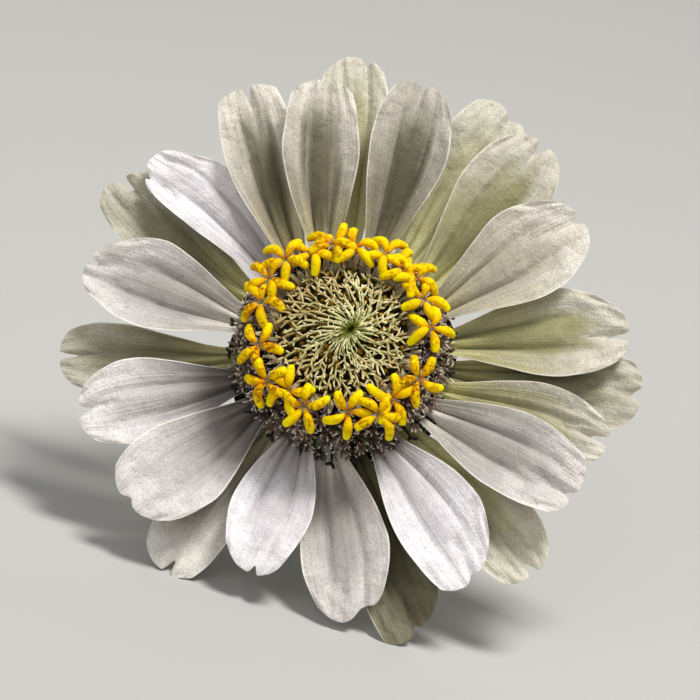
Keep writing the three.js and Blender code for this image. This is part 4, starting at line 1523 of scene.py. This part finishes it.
    def build_straps(self) -> None:
        """Builds the long scales that lean out from the chaff to the open florets as one piece."""
        shaper = Shaper(29)
        draw = shaper.chance.uniform
        for azimuth in shaper.ring(self.straps, 0.4):
            inner = draw(7.2, 8.2)
            outer = inner + draw(1.4, 2.5)
            top = draw(10.6, 11.3)
            foot = polar(inner, azimuth, DISC.plate_high)
            middle = polar(between(inner, outer, 0.3), azimuth, between(DISC.plate_high, top, 0.75))
            line = bend(foot, middle, polar(outer, azimuth + draw(-0.06, 0.06), top))
            up = polar(-0.7, azimuth + draw(-0.5, 0.5), 0.7)
            width = draw(0.24, 0.42)
            shaper.strand(line, taper(width, 0.7 * width), self.STRAP, up=up)
        shaper.piece("upright_scales", STRAP_TAN)

    def build(self) -> None:
        """Builds all the pieces of the young chaff."""
        self.build_core()
        self.build_antlers()
        self.build_buds()
        self.build_straps()


@dataclass
class RayStyles:
    """The black two-branched styles of the ray florets, which stand out from under the drum."""

    azimuths: tuple[float, ...] = (
        *(147.7, 178.6, 199.5, 213.0, 230.4, 245.0, 264.0, 277.0, 309.2, 322.7, 334.6, 349.4, 7.9, 21.4),
        *(38.0, 57.0, 73.0, 90.0, 104.0, 119.0, 133.0, 163.0, 293.0),
    )
    foot_radius: float = 11.0
    tip_radius: float = 13.2
    height: float = 2.0
    stem_girths: tuple[float, float] = (0.16, 0.2)
    branch_girths: tuple[float, float] = (0.26, 0.18)

    BRANCH = Form(6, 8, 1.0, 0.4)

    def build(self) -> None:
        """Builds the styles as one piece."""
        shaper = Shaper(13)
        draw = shaper.chance.uniform
        for azimuth_deg in self.azimuths:
            azimuth = math.radians(azimuth_deg)
            top = self.height + draw(-0.9, 0.4)
            foot = polar(self.foot_radius, azimuth, 0.7)
            fork = polar(self.tip_radius + draw(-0.4, 0.3), azimuth + draw(-0.03, 0.03), top)
            shaper.strand(arched(foot, fork, 0.4), taper(*self.stem_girths), tone=0.5)
            for side in (-1, 1):
                aim = azimuth + side * draw(0.2, 1.2)
                out = fork + polar(draw(0.3, 0.7), aim, draw(-0.2, 0.4))
                branch = bend(fork, out, out + polar(draw(0.2, 0.55), aim + side * draw(-0.6, 1.6), -0.2))
                girth = taper(*self.branch_girths)
                shaper.strand(branch, girth, self.BRANCH, tone=0.9, along=(0.6, 1.0))
        shaper.piece("ray_styles", STYLE_BLACK)


@dataclass(frozen=True)
class BractRow:
    """A row of bracts: how many, the angles of foot and tip round the cup in degrees, and their sizes."""

    bracts: int
    foot_deg: float
    tip_deg: float
    half_width: float
    stand_off: float


@dataclass
class Involucre:
    """The green cup behind the bloom, with overlapping round bracts that have dark fringed rims."""

    rim_radius: float = 11.2
    foot_radius: float = 2.6
    rim_height: float = -3.2
    foot_height: float = -12.9
    post_radius: float = 8.5
    post_top: float = 1.8
    thickness: float = 0.6
    fringe: float = 0.16
    midrib: float = 0.08
    # From the bloom's side to the foot.
    rows: tuple[BractRow, ...] = (
        BractRow(11, 42, 99, 4.8, 2.8),
        BractRow(9, 22, 70, 3.6, 0.6),
        BractRow(7, 6, 48, 3.4, 0.85),
    )

    def section(self, angle: float, off: float) -> tuple[float, float]:
        """Gives radius and height of a point of the cup's section, moved off along its normal."""
        across = self.rim_radius - self.foot_radius
        tall = self.rim_height - self.foot_height
        within = min(angle, 0.5 * math.pi)
        beyond = max(angle - 0.5 * math.pi, 0.0)
        normal = Vector((tall * math.sin(within), -across * math.cos(within))).normalized()
        radius = self.foot_radius + across * math.sin(within) + off * normal.x
        height = self.rim_height - tall * math.cos(within) + tall * beyond + off * normal.y
        return radius, height

    def bract(self, shaper: Shaper, row: BractRow, azimuth: float, tone: float) -> None:
        """Grows one bract on the cup."""

        def place(along: float, across: float, face: float) -> Vector:
            toothed = eased(max(along, abs(across)), 0.8, 1.0)
            teeth = self.fringe * abs(math.sin(23 * across + 19 * along)) * toothed
            rounding = 1 - 0.12 * across * across * along
            angle = math.radians(between(row.foot_deg, row.tip_deg, along * rounding))
            crown = between(0.1, row.stand_off, along) + 0.2 * (1 - across * across)
            rib = self.midrib * hump(across, 0.0, 0.12) + 0.03 * math.cos(22 * across)
            half = 0.5 * self.thickness * abs(face) ** 0.8 * max(1 - along**10, 0.0) ** 0.5
            off = crown - 0.5 * self.thickness + rib + math.copysign(half, face)
            radius, height = self.section(angle, off)
            breadth = row.half_width * math.sqrt(max(1 - ((along - 0.6) / 0.66) ** 2, 0.12)) - teeth
            return polar(radius, azimuth + across * breadth / max(radius, 0.6 * self.rim_radius), height)

        shaper.sheet(48, 26, place, tone)

    def build(self) -> None:
        """Builds the cup with its post, and the bracts, as one piece."""
        shaper = Shaper(19)
        profile = [(0.0, self.foot_height)]
        profile += [self.section(math.radians(angle), 0.0) for angle in range(0, 91, 9)]
        profile += [(self.post_radius, height) for height in (self.rim_height, self.post_top)]
        shaper.turned([*profile, (0.0, self.post_top)], 56)
        for number, row in enumerate(self.rows):
            for k in range(row.bracts):
                azimuth = math.tau * (k + 0.5 * ((number + 1) % 2)) / row.bracts
                self.bract(shaper, row, azimuth, shaper.chance.random())
        shaper.piece("bracts", BRACT_GREEN, "involucre")


@dataclass
class Stalk:
    """The cut stalk, with short stiff hairs."""

    radius: float = 2.2
    hairs: int = 900
    hair_lengths: tuple[float, float] = (0.5, 1.0)
    hair_girths: tuple[float, float] = (0.05, 0.02)
    cut_from: float = 0.96
    knots: tuple[tuple[float, ...], ...] = ((0, 0, -12.6), (0, 0, -30), (-0.5, 3, -44), (-2, 10, -57))

    STEM = Form(48, 90, 1.0, 0.02)
    HAIR = Form(3, 3)

    def line(self, share: float) -> Vector:
        """Gives a point of the stalk's middle line."""
        rest = 1 - share
        weights = (rest**3, 3 * rest**2 * share, 3 * rest * share**2, share**3)
        total = Vector((0.0, 0.0, 0.0))
        for weight, knot in zip(weights, self.knots):
            total += weight * Vector(knot)
        return total

    def cut_line(self, share: float) -> Vector:
        """Gives a point of the line that the strand is drawn along, which stops at the cut."""
        return self.line(min(share / self.cut_from, 1.0))

    def girth(self, share: float) -> float:
        """Gives the stalk's half width, which closes at the cut."""
        return self.radius * (1 - eased(share, self.cut_from, 1.0)) * (1 + 0.12 * hump(share, 0.0, 0.05))

    def build(self) -> None:
        """Builds the stalk and its hairs, each as a piece."""
        shaper = Shaper()
        shaper.strand(self.cut_line, self.girth, self.STEM, tone=0.5)
        shaper.piece("stalk", STALK_GREEN, "stem")
        shaper = Shaper(3)
        draw = shaper.chance.uniform
        for _ in range(self.hairs):
            share = shaper.chance.random()
            tangent = (self.line(min(share + 0.01, 1)) - self.line(max(share - 0.01, 0))).normalized()
            out = tangent.orthogonal().normalized()
            out.rotate(Matrix.Rotation(draw(0.0, math.tau), 3, tangent))
            foot = self.line(share) + out * (self.radius - 0.08)
            length = draw(*self.hair_lengths)
            tip = foot + out * length + tangent * draw(-0.3, 0.3)
            line = bend(foot, foot + out * (0.6 * length), tip)
            shaper.strand(line, taper(*self.hair_girths), self.HAIR)
        shaper.piece("stalk_hairs", STALK_HAIR)


@dataclass(frozen=True)
class Lamp:
    """A soft square light that faces the bloom: its place and size in metres, its power in watts."""

    name: str
    at: tuple[float, float, float]
    size: float
    power: float
    colour: tuple[float, float, float]

    def build(self) -> None:
        """Adds the light."""
        data = bpy.data.lights.new(self.name, "AREA")
        data.shape = "SQUARE"
        data.size = self.size
        data.energy = self.power
        data.color = self.colour
        lamp = linked(self.name, data)
        lamp.location = self.at
        lamp.rotation_euler = (Vector(self.at) - HEAD_AT * MM).to_track_quat("Z", "Y").to_euler()


@dataclass
class Studio:
    """The floor, the soft lights and the camera."""

    distance: float = 450.0
    view_tilt: float = 16.0
    frame_width: float = 84.0
    centre_shift: tuple[float, float] = (0.9, 0.84)
    sensor: float = 36.0
    nearest: float = 0.01
    floor_size: float = 6.0
    lamps: tuple[Lamp, ...] = (
        Lamp("key", (0.18, -0.1, 0.88), 0.26, 8.0, (1.0, 0.99, 0.97)),
        Lamp("fill", (-0.3, -0.8, 0.5), 0.6, 2.2, (0.96, 0.98, 1.0)),
        Lamp("back", (0.1, 0.8, 0.6), 0.5, 1.6, (1.0, 1.0, 1.0)),
    )
    sky: tuple[float, float, float, float] = (0.9, 0.92, 0.95, 1.0)
    sky_strength: float = 0.28

    def camera(self) -> None:
        """Places the camera as it looks at the bloom in the photograph."""
        tilt = math.radians(self.view_tilt)
        back = Vector((0.0, -math.sin(tilt), math.cos(tilt)))
        up = Vector((0.0, math.cos(tilt), math.sin(tilt)))
        right = Vector((1.0, 0.0, 0.0))
        at = right * self.centre_shift[0] + up * self.centre_shift[1] + back * self.distance
        axes = Matrix((right, up, back)).transposed().to_4x4()
        place, rotation, _ = (laid_down() @ Matrix.Translation(at) @ axes).decompose()
        data = bpy.data.cameras.new("camera")
        data.sensor_width = self.sensor
        data.lens = self.sensor * self.distance / self.frame_width
        data.clip_start = self.nearest
        camera = linked("camera", data)
        camera.location = place
        camera.rotation_euler = rotation.to_euler()
        bpy.context.scene.camera = camera

    def floor(self) -> None:
        """Builds the floor."""
        shape = bmesh.new()
        bmesh.ops.create_grid(shape, x_segments=2, y_segments=2, size=0.5 * self.floor_size)
        mesh = bpy.data.meshes.new("floor")
        shape.to_mesh(mesh)
        shape.free()
        mesh.materials.append(PAPER.material())
        floor = linked("floor", mesh)
        floor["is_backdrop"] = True

    def build(self) -> None:
        """Builds the floor, the lights, the sky and the camera."""
        self.floor()
        for lamp in self.lamps:
            lamp.build()
        world = bpy.data.worlds.new("studio")
        world.use_nodes = True
        backdrop = world.node_tree.nodes["Background"]
        backdrop.inputs["Color"].default_value = self.sky
        backdrop.inputs["Strength"].default_value = self.sky_strength
        bpy.context.scene.world = world
        bpy.context.scene.view_settings.view_transform = "Standard"
        self.camera()


def corners(box: tuple[Vector, Vector]) -> list[list[float]]:
    """Gives a box's two corners as plain lists."""
    return [list(corner) for corner in box]


def main() -> None:
    """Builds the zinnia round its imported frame, piece by piece."""
    logging.basicConfig(level=logging.INFO, format="%(name)s: %(message)s")
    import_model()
    cad_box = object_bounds()
    Studio().build()
    for part in (RayWhorl(), SpentChaff(), OpenFlorets(), YoungChaff(), RayStyles(), Involucre(), Stalk()):
        part.build()
        LOG.info("%s is built", type(part).__name__)
    sizes = {"cad": corners(cad_box), "visual": corners(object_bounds())}


if __name__ == "__main__":
    main()
